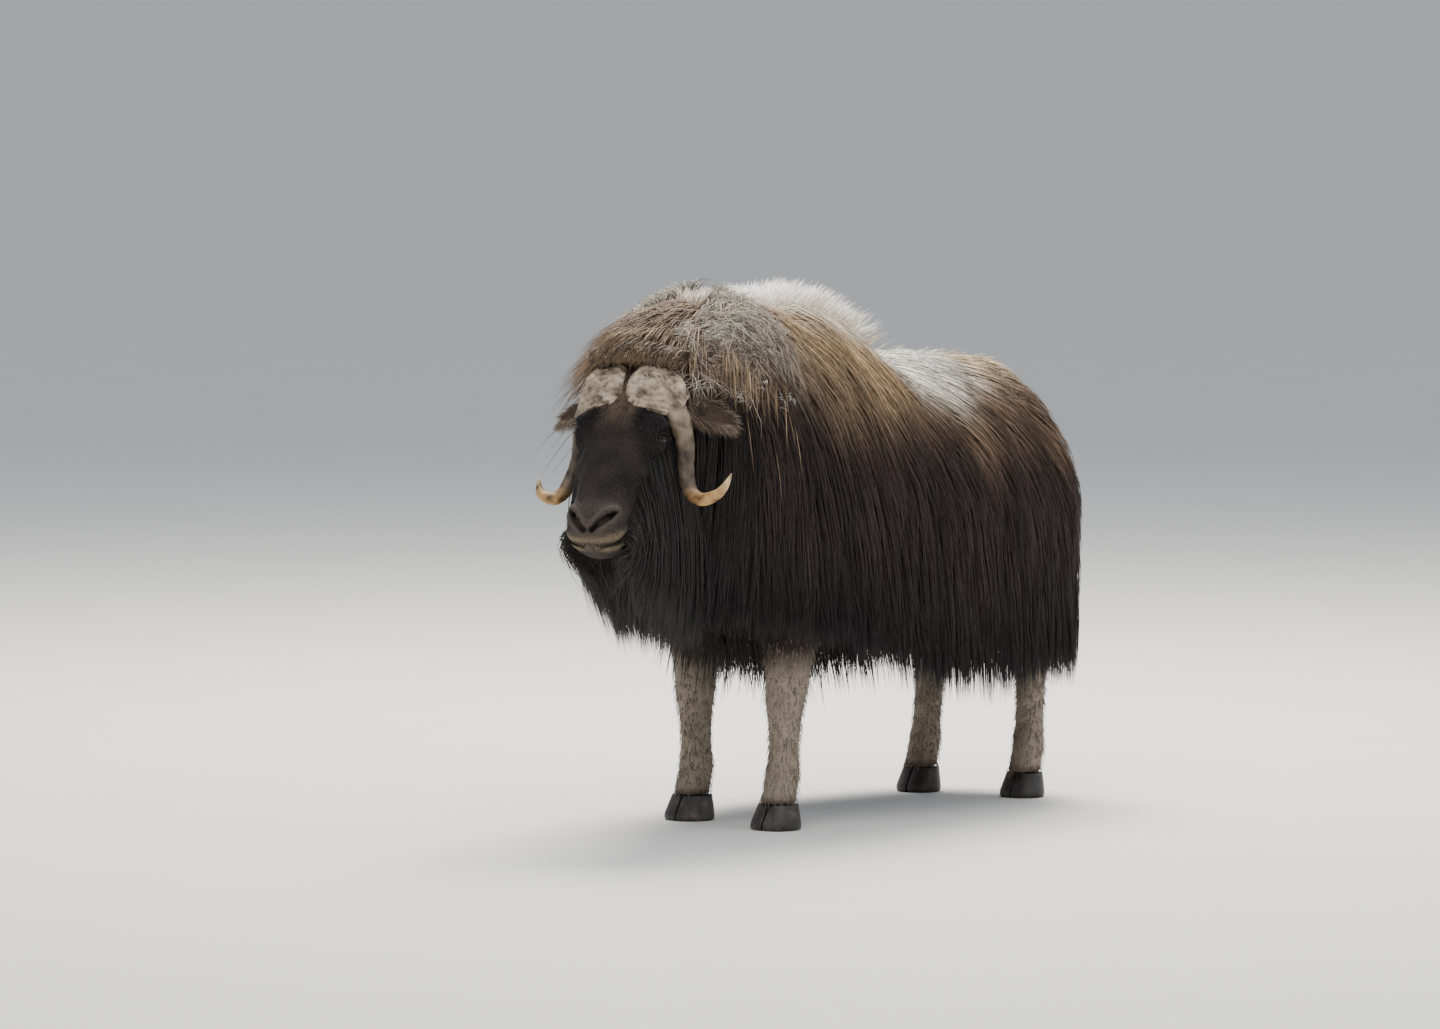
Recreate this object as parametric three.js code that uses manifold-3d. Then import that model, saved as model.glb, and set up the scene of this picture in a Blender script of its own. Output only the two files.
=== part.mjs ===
// A life-size adult bull muskox, standing with its head low and turned a little to its left.
// Millimetres: +Z is up, the animal faces -Y and its left side is +X. Its feet stand at Z = 0.
import * as THREE from "three";
import { mergeVertices } from "three/addons/utils/BufferGeometryUtils.js";
import Module from "manifold-3d";

const wasm = await Module();
wasm.setup();

// Where the middle of the animal's box lies in the frame that the sizes below are given in
const BOX_MIDDLE = new THREE.Vector3(0, 95, 0);
const GAP = 0.3;
const FULL_TURN = 2 * Math.PI;
const HALF_TURN = Math.PI;
const QUARTER_TURN = Math.PI / 2;

// The coat's outer form at stations along the spine, from the poll to the hips.
// x is the spine's bend to the side, top the height of the back, reach the half width at the height
// wide, belly the skin's lowest point and hem the end of the hanging hair. The coat stands topCoat
// and sideCoat over the skin.
const STATIONS = [
  { y: -560, x: 66, top: 1382, reach: 200, wide: 1080, belly: 830, hem: 545, topCoat: 80, sideCoat: 80, arc: 0.95, tuck: 0.4 },
  { y: -430, x: 34, top: 1434, reach: 280, wide: 1000, belly: 660, hem: 545, topCoat: 120, sideCoat: 110, arc: 0.92, tuck: 0.3 },
  { y: -250, x: 6, top: 1462, reach: 358, wide: 920, belly: 530, hem: 530, topCoat: 150, sideCoat: 140, arc: 0.95, tuck: 0.14 },
  { y: 0, x: 0, top: 1450, reach: 402, wide: 870, belly: 485, hem: 450, topCoat: 150, sideCoat: 140, arc: 1.06, tuck: 0.06 },
  { y: 130, x: 0, top: 1418, reach: 408, wide: 860, belly: 485, hem: 395, topCoat: 150, sideCoat: 135, arc: 1.2, tuck: 0.05 },
  { y: 230, x: 0, top: 1346, reach: 410, wide: 850, belly: 490, hem: 365, topCoat: 120, sideCoat: 130, arc: 1.2, tuck: 0.05 },
  { y: 310, x: 0, top: 1284, reach: 409, wide: 840, belly: 495, hem: 350, topCoat: 85, sideCoat: 125, arc: 1.12, tuck: 0.05 },
  { y: 400, x: 0, top: 1262, reach: 407, wide: 825, belly: 505, hem: 340, topCoat: 60, sideCoat: 120, arc: 1.06, tuck: 0.05 },
  { y: 600, x: 0, top: 1252, reach: 398, wide: 805, belly: 520, hem: 335, topCoat: 50, sideCoat: 115, arc: 1.06, tuck: 0.05 },
  { y: 850, x: 0, top: 1236, reach: 366, wide: 790, belly: 560, hem: 350, topCoat: 70, sideCoat: 105, arc: 1.12, tuck: 0.05 },
];
const POLL_Y = STATIONS[0].y;
const HIP_Y = STATIONS[STATIONS.length - 1].y;
// How far the coat reaches before the poll and behind the hips, and its depth there
const FRONT_REACH = 150;
const REAR_REACH = 270;
const END_COAT = 100;
// Share of the way from the spine down to the hem at which the body is widest
const WIDEST = 0.55;

// Planes that part the body: behind the neck, behind the shoulder, before the haunch, beside the spine
const NECK_CUT_Y = -330;
const SHOULDER_CUT_Y = 290;
const HAUNCH_CUT_Y = 660;
const SIDE_CUT_X = 190;
const LEG_CUT_Z = 470;
const FAR = 3000;

// Gives the value at x of a curve that joins the points (xs, ys) smoothly and never overshoots them
function smoothThrough(xs, ys, x) {
  const last = xs.length - 1;
  if (x <= xs[0]) return ys[0];
  if (x >= xs[last]) return ys[last];
  const slope = (i) => (ys[i + 1] - ys[i]) / (xs[i + 1] - xs[i]);
  const tangent = (i) => {
    if (i === 0) return slope(0);
    if (i === last) return slope(last - 1);
    const [before, after] = [slope(i - 1), slope(i)];
    return before * after <= 0 ? 0 : (2 * before * after) / (before + after);
  };
  const i = xs.findIndex((value) => value > x) - 1;
  const h = xs[i + 1] - xs[i];
  const t = (x - xs[i]) / h;
  return (
    ys[i] * (1 + 2 * t) * (1 - t) ** 2 +
    h * tangent(i) * t * (1 - t) ** 2 +
    ys[i + 1] * t * t * (3 - 2 * t) +
    h * tangent(i + 1) * t * t * (t - 1)
  );
}

const stationYs = STATIONS.map((station) => station.y);
const along = (field, y) => smoothThrough(stationYs, STATIONS.map((station) => station[field]), y);

// The place on the spine and the way outwards in plan of a column of the coat. turn is 0 on the left
// side, a quarter turn at the tail, a half turn on the right side and three quarters at the throat.
// A y past either end of the spine slides the column round that end.
function columnAt(y, turn) {
  const side = Math.cos(turn) >= 0 ? 1 : -1;
  const past = y > HIP_Y ? y - HIP_Y : y < POLL_Y ? y - POLL_Y : 0;
  const onSpine = THREE.MathUtils.clamp(y, POLL_Y, HIP_Y);
  const turned = turn + (side * past) / REAR_REACH;
  const rearward = new THREE.Vector2(along("x", onSpine + 1) - along("x", onSpine - 1), 2).normalize();
  const leftward = new THREE.Vector2(rearward.y, -rearward.x);
  const outward = leftward.multiplyScalar(Math.cos(turned)).addScaledVector(rearward, Math.sin(turned));
  return { onSpine, turned, outward };
}

// How far the coat's layer reaches out in a column's direction: layer 0 is the skin, 1 the coat's tips
function reachAt(column, layer) {
  const bare = 1 - layer;
  const side = along("reach", column.onSpine) - bare * along("sideCoat", column.onSpine);
  const end = (Math.sin(column.turned) >= 0 ? REAR_REACH : FRONT_REACH) - bare * END_COAT * 0.6;
  return 1 / Math.hypot(Math.cos(column.turned) / side, Math.sin(column.turned) / end);
}

// A point of the coat: down is 0 on the spine's ridge, WIDEST at the widest level and 1 at the hem
function coatPoint(y, turn, down, layer) {
  const column = columnAt(y, turn);
  const at = (field) => along(field, column.onSpine);
  const reach = reachAt(column, layer);
  const arc = Math.min(down / WIDEST, 1) * QUARTER_TURN;
  const hang = Math.max(down - WIDEST, 0) / (1 - WIDEST);
  const out = reach * Math.sin(arc) ** at("arc") * (1 - at("tuck") * hang);
  const top = at("top") - (1 - layer) * at("topCoat");
  const level = at("wide") + (top - at("wide")) * Math.cos(arc) ** at("arc");
  return new THREE.Vector3(
    at("x") + column.outward.x * out,
    column.onSpine + column.outward.y * out,
    level - (at("wide") - at("hem")) * hang,
  );
}

// A point of a closed form under the coat, which rounds in below the widest level to the belly line
function corePoint(y, turn, down, layer) {
  if (down <= WIDEST) return coatPoint(y, turn, down, layer);
  const column = columnAt(y, turn);
  const at = (field) => along(field, column.onSpine);
  const arc = Math.min((down - WIDEST) / (1 - WIDEST), 1) * QUARTER_TURN;
  const out = reachAt(column, layer) * Math.cos(arc) ** 0.8;
  return new THREE.Vector3(
    at("x") + column.outward.x * out,
    column.onSpine + column.outward.y * out,
    at("wide") - (at("wide") - at("belly")) * Math.sin(arc),
  );
}

// Joins coincident vertices and drops the triangles that this collapses, ready for a solid
function merged(geometry) {
  const bare = new THREE.BufferGeometry().setAttribute("position", geometry.getAttribute("position"));
  if (geometry.index) bare.setIndex(geometry.index);
  return mergeVertices(bare, 1e-3);
}

function solidOf(geometry) {
  const { index, attributes } = merged(geometry);
  const corners = [];
  for (let i = 0; i < index.count; i += 3) {
    const [a, b, c] = [index.getX(i), index.getX(i + 1), index.getX(i + 2)];
    if (a !== b && b !== c && c !== a) corners.push(a, b, c);
  }
  const made = new wasm.Manifold(
    new wasm.Mesh({
      numProp: 3,
      vertProperties: new Float32Array(attributes.position.array),
      triVerts: new Uint32Array(corners),
    }),
  );
  if (made.volume() >= 0) return made;
  for (let i = 0; i < corners.length; i += 3) {
    [corners[i + 1], corners[i + 2]] = [corners[i + 2], corners[i + 1]];
  }
  return new wasm.Manifold(
    new wasm.Mesh({
      numProp: 3,
      vertProperties: new Float32Array(attributes.position.array),
      triVerts: new Uint32Array(corners),
    }),
  );
}

// A closed form through rings of equally many points, each end closed by a fan round its middle
function loft(rings) {
  const count = rings[0].length;
  const positions = [];
  const index = [];
  rings.forEach((ring) => ring.forEach((point) => positions.push(point.x, point.y, point.z)));
  for (let r = 0; r + 1 < rings.length; r++) {
    for (let i = 0; i < count; i++) {
      const [a, b] = [r * count + i, r * count + ((i + 1) % count)];
      index.push(a, b, b + count, a, b + count, a + count);
    }
  }
  for (const [ring, first, flip] of [
    [rings[0], 0, true],
    [rings[rings.length - 1], (rings.length - 1) * count, false],
  ]) {
    const middle = positions.length / 3;
    const mean = ring.reduce((sum, point) => sum.add(point), new THREE.Vector3()).divideScalar(count);
    positions.push(mean.x, mean.y, mean.z);
    for (let i = 0; i < count; i++) {
      const [a, b] = [first + i, first + ((i + 1) % count)];
      if (flip) index.push(b, a, middle);
      else index.push(a, b, middle);
    }
  }
  return new THREE.BufferGeometry()
    .setAttribute("position", new THREE.Float32BufferAttribute(positions, 3))
    .setIndex(index);
}

const joined = (solids) => solids.reduce((sum, solid) => sum.add(solid));

// The largest closed surface of a solid
function largest(solid) {
  return solid.decompose().reduce((a, b) => (b.volume() > a.volume() ? b : a));
}

function geometryOf(solid) {
  const { numProp, numVert, vertProperties, triVerts } = solid.getMesh();
  const positions = new Float32Array(numVert * 3);
  for (let i = 0; i < numVert; i++) {
    positions.set(vertProperties.subarray(i * numProp, i * numProp + 3), i * 3);
  }
  return new THREE.BufferGeometry()
    .setAttribute("position", new THREE.BufferAttribute(positions, 3))
    .setIndex(new THREE.BufferAttribute(triVerts, 1));
}

// A box between two corners, given as [x, y, z] lists
function boxBetween(low, high) {
  const size = high.map((value, i) => value - low[i]);
  const box = new THREE.BoxGeometry(...size);
  return solidOf(box.translate(...low.map((value, i) => value + size[i] / 2)));
}

// Columns of the body's mesh: along the left side, round the tail, back along the right, round the throat
const SIDE_COLUMNS = 12;
const END_COLUMNS = 6;
function bodyColumns() {
  const columns = [];
  for (let i = 0; i < SIDE_COLUMNS; i++) {
    columns.push({ y: THREE.MathUtils.lerp(POLL_Y, HIP_Y, i / SIDE_COLUMNS), turn: 0 });
  }
  for (let i = 0; i < END_COLUMNS; i++) columns.push({ y: HIP_Y, turn: (HALF_TURN * i) / END_COLUMNS });
  for (let i = 0; i < SIDE_COLUMNS; i++) {
    columns.push({ y: THREE.MathUtils.lerp(POLL_Y, HIP_Y, 1 - i / SIDE_COLUMNS), turn: HALF_TURN });
  }
  for (let i = 0; i < END_COLUMNS; i++) {
    columns.push({ y: POLL_Y, turn: HALF_TURN + (HALF_TURN * i) / END_COLUMNS });
  }
  return columns;
}

// The whole body without its head, as rings from the ridge of the back down
function bodyForm(pointAt, layer, levels) {
  const columns = bodyColumns();
  const rings = levels.map((down) => columns.map(({ y, turn }) => pointAt(y, turn, down, layer)));
  return rings;
}

// A limb as level oval rings: each station is [x, y, z, half width in x, half width in y]
const LIMB_SIDES = 10;
function limb(stations, grow = 0) {
  return loft(
    stations.map(([x, y, z, halfX, halfY]) =>
      Array.from({ length: LIMB_SIDES }, (_, i) => {
        const angle = (FULL_TURN * i) / LIMB_SIDES;
        return new THREE.Vector3(
          x + (halfX + grow) * Math.cos(angle),
          y + (halfY + grow) * Math.sin(angle),
          z,
        );
      }),
    ),
  );
}

// Legs: each foot's place and how far its leg is set forward in the stance
const FORE_X = 172;
const HIND_X = 160;
const FETLOCK_Z = 128;
const HOOF_TOP_Z = 68;
const LEGS = {
  foreleg_left: { side: 1, fore: true, step: -30 },
  foreleg_right: { side: -1, fore: true, step: 26 },
  hindleg_left: { side: 1, fore: false, step: 34 },
  hindleg_right: { side: -1, fore: false, step: -22 },
};

// Stations of one leg from inside the body down to the hoof
function legStations({ side, fore, step }) {
  const x = side * (fore ? FORE_X : HIND_X);
  return fore
    ? [
        [x, -120 + step * 0.1, 640, 95, 120],
        [x, -118 + step * 0.3, 540, 78, 92],
        [x, -118 + step * 0.5, LEG_CUT_Z, 66, 74],
        [x, -122 + step * 0.6, 400, 56, 62],
        [x, -128 + step * 0.7, 345, 52, 58],
        [x, -128 + step * 0.8, 290, 44, 48],
        [x, -128 + step * 0.9, 205, 39, 43],
        [x, -132 + step, FETLOCK_Z + 12, 45, 50],
        [x, -144 + step, 92, 44, 50],
        [x, -152 + step, HOOF_TOP_Z, 50, 56],
      ]
    : [
        [x, 800 + step * 0.1, 660, 100, 150],
        [x, 850 + step * 0.2, 540, 82, 104],
        [x, 900 + step * 0.4, LEG_CUT_Z, 58, 70],
        [x, 930 + step * 0.6, 405, 47, 60],
        [x, 936 + step * 0.7, 350, 42, 52],
        [x, 930 + step * 0.8, 280, 38, 43],
        [x, 922 + step * 0.9, 200, 37, 41],
        [x, 914 + step, FETLOCK_Z + 8, 43, 48],
        [x, 902 + step, 90, 42, 48],
        [x, 895 + step, HOOF_TOP_Z, 47, 53],
      ];
}

// One claw of a cloven hoof: D-shaped in plan, flat underneath and narrower at the top
const CLAW_CLEFT = 5;
const CLAW_SIDES = 12;
function claw(legPlan, outer) {
  const stations = legStations(legPlan);
  const [legX, legY] = stations[stations.length - 1];
  const [width, length] = legPlan.fore ? [60, 124] : [54, 114];
  const away = outer ? legPlan.side : -legPlan.side;
  const levels = [
    { z: 0, wide: 0.94, long: 0.96, back: 0 },
    { z: 10, wide: 1, long: 1, back: 0 },
    { z: 40, wide: 0.92, long: 0.86, back: 6 },
    { z: HOOF_TOP_Z - GAP, wide: 0.8, long: 0.7, back: 12 },
  ];
  return loft(
    levels.map(({ z, wide, long, back }) =>
      Array.from({ length: CLAW_SIDES }, (_, i) => {
        const angle = (FULL_TURN * i) / CLAW_SIDES;
        const across = Math.max(Math.cos(angle), -0.12) * width * wide;
        return new THREE.Vector3(
          legX + away * (CLAW_CLEFT / 2 + width * 0.12 + across),
          legY - 8 + back + (Math.sin(angle) * length * long) / 2,
          z,
        );
      }),
    ),
  );
}

// The head's own frame: s to the animal's left, u out of the face, f down along the face to the muzzle
const HEAD_PLACE = new THREE.Vector3(113, -736, 1246);
const HEAD_YAW = THREE.MathUtils.degToRad(14);
const FACE_SLOPE = THREE.MathUtils.degToRad(35);
const forward = new THREE.Vector3(Math.sin(HEAD_YAW), -Math.cos(HEAD_YAW), 0);
const leftOfHead = new THREE.Vector3(Math.cos(HEAD_YAW), Math.sin(HEAD_YAW), 0);
const upward = new THREE.Vector3(0, 0, 1);
const outOfFace = forward.clone().multiplyScalar(Math.cos(FACE_SLOPE)).addScaledVector(upward, Math.sin(FACE_SLOPE));
const downFace = forward.clone().multiplyScalar(Math.sin(FACE_SLOPE)).addScaledVector(upward, -Math.cos(FACE_SLOPE));
const headFrame = new THREE.Matrix4().makeBasis(leftOfHead, outOfFace, downFace).setPosition(HEAD_PLACE);
const inHead = (geometry) => geometry.applyMatrix4(headFrame);

// Sections of the head along f: the face's line, the jaw's line, the half width, how square it is, and
// how far below the face's line it is widest
const HEAD_SECTIONS = [
  { f: -70, face: -105, jaw: -185, half: 62, square: 2, widest: 0.5 },
  { f: -50, face: -62, jaw: -225, half: 98, square: 2.2, widest: 0.45 },
  { f: 0, face: -14, jaw: -262, half: 112, square: 2.4, widest: 0.42 },
  { f: 60, face: -4, jaw: -280, half: 116, square: 2.5, widest: 0.4 },
  { f: 120, face: -2, jaw: -284, half: 116, square: 2.6, widest: 0.36 },
  { f: 180, face: -4, jaw: -274, half: 113, square: 2.6, widest: 0.3 },
  { f: 240, face: -8, jaw: -250, half: 106, square: 2.6, widest: 0.28 },
  { f: 300, face: -10, jaw: -220, half: 95, square: 2.5, widest: 0.3 },
  { f: 360, face: -10, jaw: -192, half: 82, square: 2.4, widest: 0.38 },
  { f: 410, face: -8, jaw: -174, half: 78, square: 2.4, widest: 0.42 },
  { f: 448, face: -12, jaw: -162, half: 76, square: 2.4, widest: 0.45 },
  { f: 476, face: -32, jaw: -150, half: 66, square: 2.2, widest: 0.45 },
  { f: 492, face: -62, jaw: -132, half: 42, square: 2, widest: 0.45 },
];
const HEAD_SIDES = 16;
const sectionFs = HEAD_SECTIONS.map((section) => section.f);
const ofHead = (field, f) => smoothThrough(sectionFs, HEAD_SECTIONS.map((section) => section[field]), f);

// A point of the head's surface at f, angle 0 on its left, a quarter turn on the face's line
function headPoint(f, angle, grow = 0) {
  const face = ofHead("face", f) + grow;
  const jaw = ofHead("jaw", f) - grow;
  const widest = face - (face - jaw) * ofHead("widest", f);
  const power = 2 / ofHead("square", f);
  const [across, out] = [Math.cos(angle), Math.sin(angle)];
  return new THREE.Vector3(
    (ofHead("half", f) + grow) * Math.sign(across) * Math.abs(across) ** power,
    widest + (out >= 0 ? face - widest : widest - jaw) * Math.sign(out) * Math.abs(out) ** power,
    f,
  );
}

function headForm(grow = 0) {
  const rings = sectionFs.map((f) =>
    Array.from({ length: HEAD_SIDES }, (_, i) => headPoint(f, (FULL_TURN * i) / HEAD_SIDES, grow)),
  );
  rings[0].forEach((point) => (point.z -= grow));
  rings[rings.length - 1].forEach((point) => (point.z += grow));
  return loft(rings);
}

// A ball stretched to half sizes along s, u and f and placed at a point of the head
function bump([s, u, f], [halfS, halfU, halfF], sides = 12) {
  return new THREE.SphereGeometry(1, sides, Math.round(sides * 0.7))
    .scale(halfS, halfU, halfF)
    .translate(s, u, f);
}

// A tube through stations { at, ref, wide, thick }: each ring spans wide along ref and thick across it
function sweep(stations, rings, sides, grow = 0) {
  const points = stations.map(({ at }) => new THREE.Vector3(...at));
  const curve = new THREE.CatmullRomCurve3(points, false, "centripetal");
  const steps = stations.map((_, i) => i / (stations.length - 1));
  const between = (pick, t) => smoothThrough(steps, stations.map(pick), t);
  return loft(
    Array.from({ length: rings }, (_, r) => {
      const t = r / (rings - 1);
      const tangent = curve.getTangent(t);
      const past = t === 0 ? -grow : t === 1 ? grow : 0;
      const centre = curve.getPoint(t).addScaledVector(tangent, past);
      const ref = new THREE.Vector3(
        between((station) => station.ref[0], t),
        between((station) => station.ref[1], t),
        between((station) => station.ref[2], t),
      );
      const wideWay = ref.addScaledVector(tangent, -ref.dot(tangent)).normalize();
      const thickWay = tangent.clone().cross(wideWay);
      return Array.from({ length: sides }, (_, i) => {
        const angle = (FULL_TURN * i) / sides;
        return centre
          .clone()
          .addScaledVector(wideWay, (between((station) => station.wide, t) + grow) * Math.cos(angle))
          .addScaledVector(thickWay, (between((station) => station.thick, t) + grow) * Math.sin(angle));
      });
    }),
  );
}

// The boss, a broad plate that wraps from the middle of the brow down to the side of the head
const BOSS = [
  { at: [11, -30, 30], ref: [0, 0, 1], wide: 56, thick: 32 },
  { at: [38, -27, 32], ref: [0, 0, 1], wide: 74, thick: 43 },
  { at: [74, -32, 34], ref: [0, 0, 1], wide: 72, thick: 43 },
  { at: [108, -50, 40], ref: [0, 0, 1], wide: 64, thick: 38 },
  { at: [130, -80, 52], ref: [0, 0, 1], wide: 46, thick: 30 },
];
// The horn, from inside the boss down beside the eye, then out, forward and up to the tip
const HORN = [
  { at: [118, -58, 56], ref: [1, 0, 0], wide: 30, thick: 40 },
  { at: [138, -94, 90], ref: [1, 0, 0], wide: 27, thick: 34 },
  { at: [150, -128, 132], ref: [1, 0, 0], wide: 24, thick: 29 },
  { at: [156, -153, 180], ref: [1, 0, 0], wide: 21, thick: 26 },
  { at: [167, -166, 226], ref: [0.9, 0.2, -0.3], wide: 20, thick: 24 },
  { at: [194, -168, 266], ref: [0.6, 0.4, -0.6], wide: 18, thick: 22 },
  { at: [234, -160, 284], ref: [0, 0.6, -0.9], wide: 17, thick: 20 },
  { at: [270, -152, 274], ref: [-0.6, 0.6, -0.6], wide: 14, thick: 16 },
  { at: [291, -148, 246], ref: [-0.9, 0.4, -0.3], wide: 9, thick: 10 },
  { at: [299, -146, 212], ref: [-1, 0.2, 0], wide: 2.5, thick: 2.5 },
];
// The right horn is worn: it spreads less and its tip stays lower
const WORN = { spread: 0.84, drop: 34, from: 4 };
const wornHorn = HORN.map(({ at: [s, u, f], ...rest }, i) => {
  const share = Math.max(i - WORN.from, 0) / (HORN.length - 1 - WORN.from);
  return { ...rest, at: [s * (1 - (1 - WORN.spread) * Math.min(share * 2, 1)), u, f + WORN.drop * share] };
});
const sided = (stations, side) =>
  stations.map((station) => ({
    ...station,
    at: [side * station.at[0], station.at[1], station.at[2]],
    ref: [side * station.ref[0], station.ref[1], station.ref[2]],
  }));
const hornSolid = (side, grow = 0) =>
  solidOf(inHead(sweep(sided(BOSS, side), 9, 12, grow))).add(
    solidOf(inHead(sweep(sided(side > 0 ? HORN : wornHorn, side), 15, 8, grow))),
  );

// Eyes, on the outer side of each orbit
const EYE = { at: [110, -62, 162], radius: 20 };
const ORBIT_HALF = [40, 42, 48];
const eyeForm = (side, grow = 0) =>
  bump([side * EYE.at[0], EYE.at[1], EYE.at[2]], Array(3).fill(EYE.radius + grow), 10);

// The lids, thick folds that stand proud of the orbit over and under the eye
const LIDS = [
  { at: [110, -62, 146], half: [20, 24, 10] },
  { at: [108, -66, 180], half: [18, 20, 7] },
];
const LID_SIDES = 6;

// The lips: the upper lip's two lobes and the lower lip, on each side of the mouth line
const LIPS = [
  { at: [27, -50, 470], half: [34, 14, 16] },
  { at: [-27, -50, 470], half: [34, 14, 16] },
  { at: [0, -88, 482], half: [46, 15, 16] },
];
const LIP_SIDES = 8;

// A nostril: a comma-shaped slit from the side of the nose down to the middle of the upper lip
const NOSTRIL = [
  { at: [60, -36, 408], ref: [0, 1, 0], wide: 8, thick: 7 },
  { at: [50, -23, 428], ref: [0, 1, 0], wide: 13, thick: 10 },
  { at: [32, -20, 448], ref: [0, 1, 0], wide: 13, thick: 8 },
  { at: [12, -26, 466], ref: [0, 1, 0], wide: 8, thick: 4 },
];
const nostrilForm = (side) => sweep(sided(NOSTRIL, side), 5, 6);

// Ears, low behind the horns: a leaf-shaped cup that points out and back
const EAR = [
  { at: [112, -128, 24], ref: [0, 0, 1], wide: 22, thick: 20 },
  { at: [142, -136, 22], ref: [0, 0, 1], wide: 32, thick: 19 },
  { at: [182, -150, 26], ref: [0, 0, 1], wide: 36, thick: 15 },
  { at: [222, -162, 36], ref: [0, 0, 1], wide: 24, thick: 10 },
  { at: [250, -168, 46], ref: [0, 0, 1], wide: 4, thick: 4 },
];
const EAR_CUP = [
  { at: [146, -110, 24], ref: [0, 0, 1], wide: 12, thick: 12 },
  { at: [166, -126, 25], ref: [0, 0, 1], wide: 24, thick: 15 },
  { at: [192, -138, 29], ref: [0, 0, 1], wide: 26, thick: 13 },
  { at: [218, -150, 36], ref: [0, 0, 1], wide: 15, thick: 9 },
  { at: [232, -156, 41], ref: [0, 0, 1], wide: 4, thick: 4 },
];
const earForm = (side, grow = 0) => sweep(sided(EAR, side), 8, 10, grow);
const earCup = (side) => sweep(sided(EAR_CUP, side), 7, 8);

// The mouth: the lower lip and chin part from the head along a plane from the front of the lips, at this
// u and f, back to the corner of the mouth
const MOUTH_FRONT = { u: -64, f: 494 };
const MOUTH_CORNER = { u: -128, f: 384 };

// Materials
const coatBrown = new THREE.MeshStandardMaterial({ color: 0x4a3930, roughness: 0.95 });
const coatPale = new THREE.MeshStandardMaterial({ color: 0xc9bba3, roughness: 0.95 });
const maneTan = new THREE.MeshStandardMaterial({ color: 0x9a8466, roughness: 0.95 });
const faceDark = new THREE.MeshStandardMaterial({ color: 0x352c2a, roughness: 0.9 });
const hornGrey = new THREE.MeshStandardMaterial({ color: 0x8f836f, roughness: 0.6 });
const eyeBlack = new THREE.MeshStandardMaterial({ color: 0x14100e, roughness: 0.1 });
const legGrey = new THREE.MeshStandardMaterial({ color: 0x9b8f80, roughness: 0.95 });
const hoofBlack = new THREE.MeshStandardMaterial({ color: 0x241f1c, roughness: 0.5 });

const muskox = new THREE.Group();
muskox.position.copy(BOX_MIDDLE).negate();
function addNode(name, solid, material) {
  const mesh = new THREE.Mesh(geometryOf(largest(solid)), material);
  mesh.name = name;
  muskox.add(mesh);
}

// The head with its orbits, lids and lips, and what is cut to seat the eyes, horns and ears
const grown = (half, grow) => half.map((size) => size + grow);
const headSolid = (grow = 0) =>
  joined([
    solidOf(inHead(headForm(grow))),
    ...[1, -1].flatMap((side) => [
      solidOf(inHead(bump([side * 88, -60, 158], grown(ORBIT_HALF, grow), 10))),
      ...LIDS.map(({ at: [s, u, f], half }) =>
        solidOf(inHead(bump([side * s, u, f], grown(half, grow), LID_SIDES))),
      ),
    ]),
    ...LIPS.map(({ at, half }) => solidOf(inHead(bump(at, grown(half, grow), LIP_SIDES)))),
  ]);
const sides = { left: 1, right: -1 };
const forBoth = (make) => joined(Object.values(sides).map(make));
const hornRoom = forBoth((side) => hornSolid(side, GAP));
const eyeRoom = forBoth((side) => solidOf(inHead(eyeForm(side, GAP))));
const earRoom = forBoth((side) => solidOf(inHead(earForm(side, GAP))));
const headRoom = joined([headSolid(GAP), hornRoom, earRoom, eyeRoom]);

const nostrils = forBoth((side) => solidOf(inHead(nostrilForm(side))));
const skull = headSolid().subtract(hornRoom).subtract(eyeRoom).subtract(earRoom).subtract(nostrils);
// A block whose top lies along the mouth plane and whose back is at the corner
const JAW_BLOCK = { wide: 300, tall: 120, long: 200 };
const mouthSlope = Math.atan2(MOUTH_FRONT.u - MOUTH_CORNER.u, MOUTH_FRONT.f - MOUTH_CORNER.f);
const jawBlock = (grow) =>
  solidOf(
    inHead(
      new THREE.BoxGeometry(JAW_BLOCK.wide, JAW_BLOCK.tall, JAW_BLOCK.long)
        .translate(0, grow - JAW_BLOCK.tall / 2, JAW_BLOCK.long / 2 - grow)
        .rotateX(-mouthSlope)
        .translate(0, MOUTH_CORNER.u, MOUTH_CORNER.f),
    ),
  );
addNode("head", skull.subtract(jawBlock(GAP)), faceDark);
addNode("jaw", skull.intersect(jawBlock(0)), faceDark);
for (const [name, side] of Object.entries(sides)) {
  addNode(`horn_${name}`, hornSolid(side), hornGrey);
  addNode(`eye_${name}`, solidOf(inHead(eyeForm(side))), eyeBlack);
  const cup = solidOf(inHead(earCup(side)));
  addNode(`ear_${name}`, solidOf(inHead(earForm(side))).subtract(cup).subtract(hornRoom), faceDark);
}

// The legs and hooves
const legSolids = Object.values(LEGS).map((leg) => solidOf(limb(legStations(leg))));
const belowCut = boxBetween([-FAR, -FAR, -FAR], [FAR, FAR, LEG_CUT_Z - GAP]);
const legRoom = joined(Object.values(LEGS).map((leg) => solidOf(limb(legStations(leg), GAP)))).intersect(
  boxBetween([-FAR, -FAR, -FAR], [FAR, FAR, LEG_CUT_Z]),
);
Object.entries(LEGS).forEach(([name, leg], i) => {
  addNode(name, legSolids[i].intersect(belowCut), legGrey);
  for (const outer of [true, false]) {
    addNode(`hoof_${name}_${outer ? "outer" : "inner"}`, solidOf(claw(leg, outer)), hoofBlack);
  }
});

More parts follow.
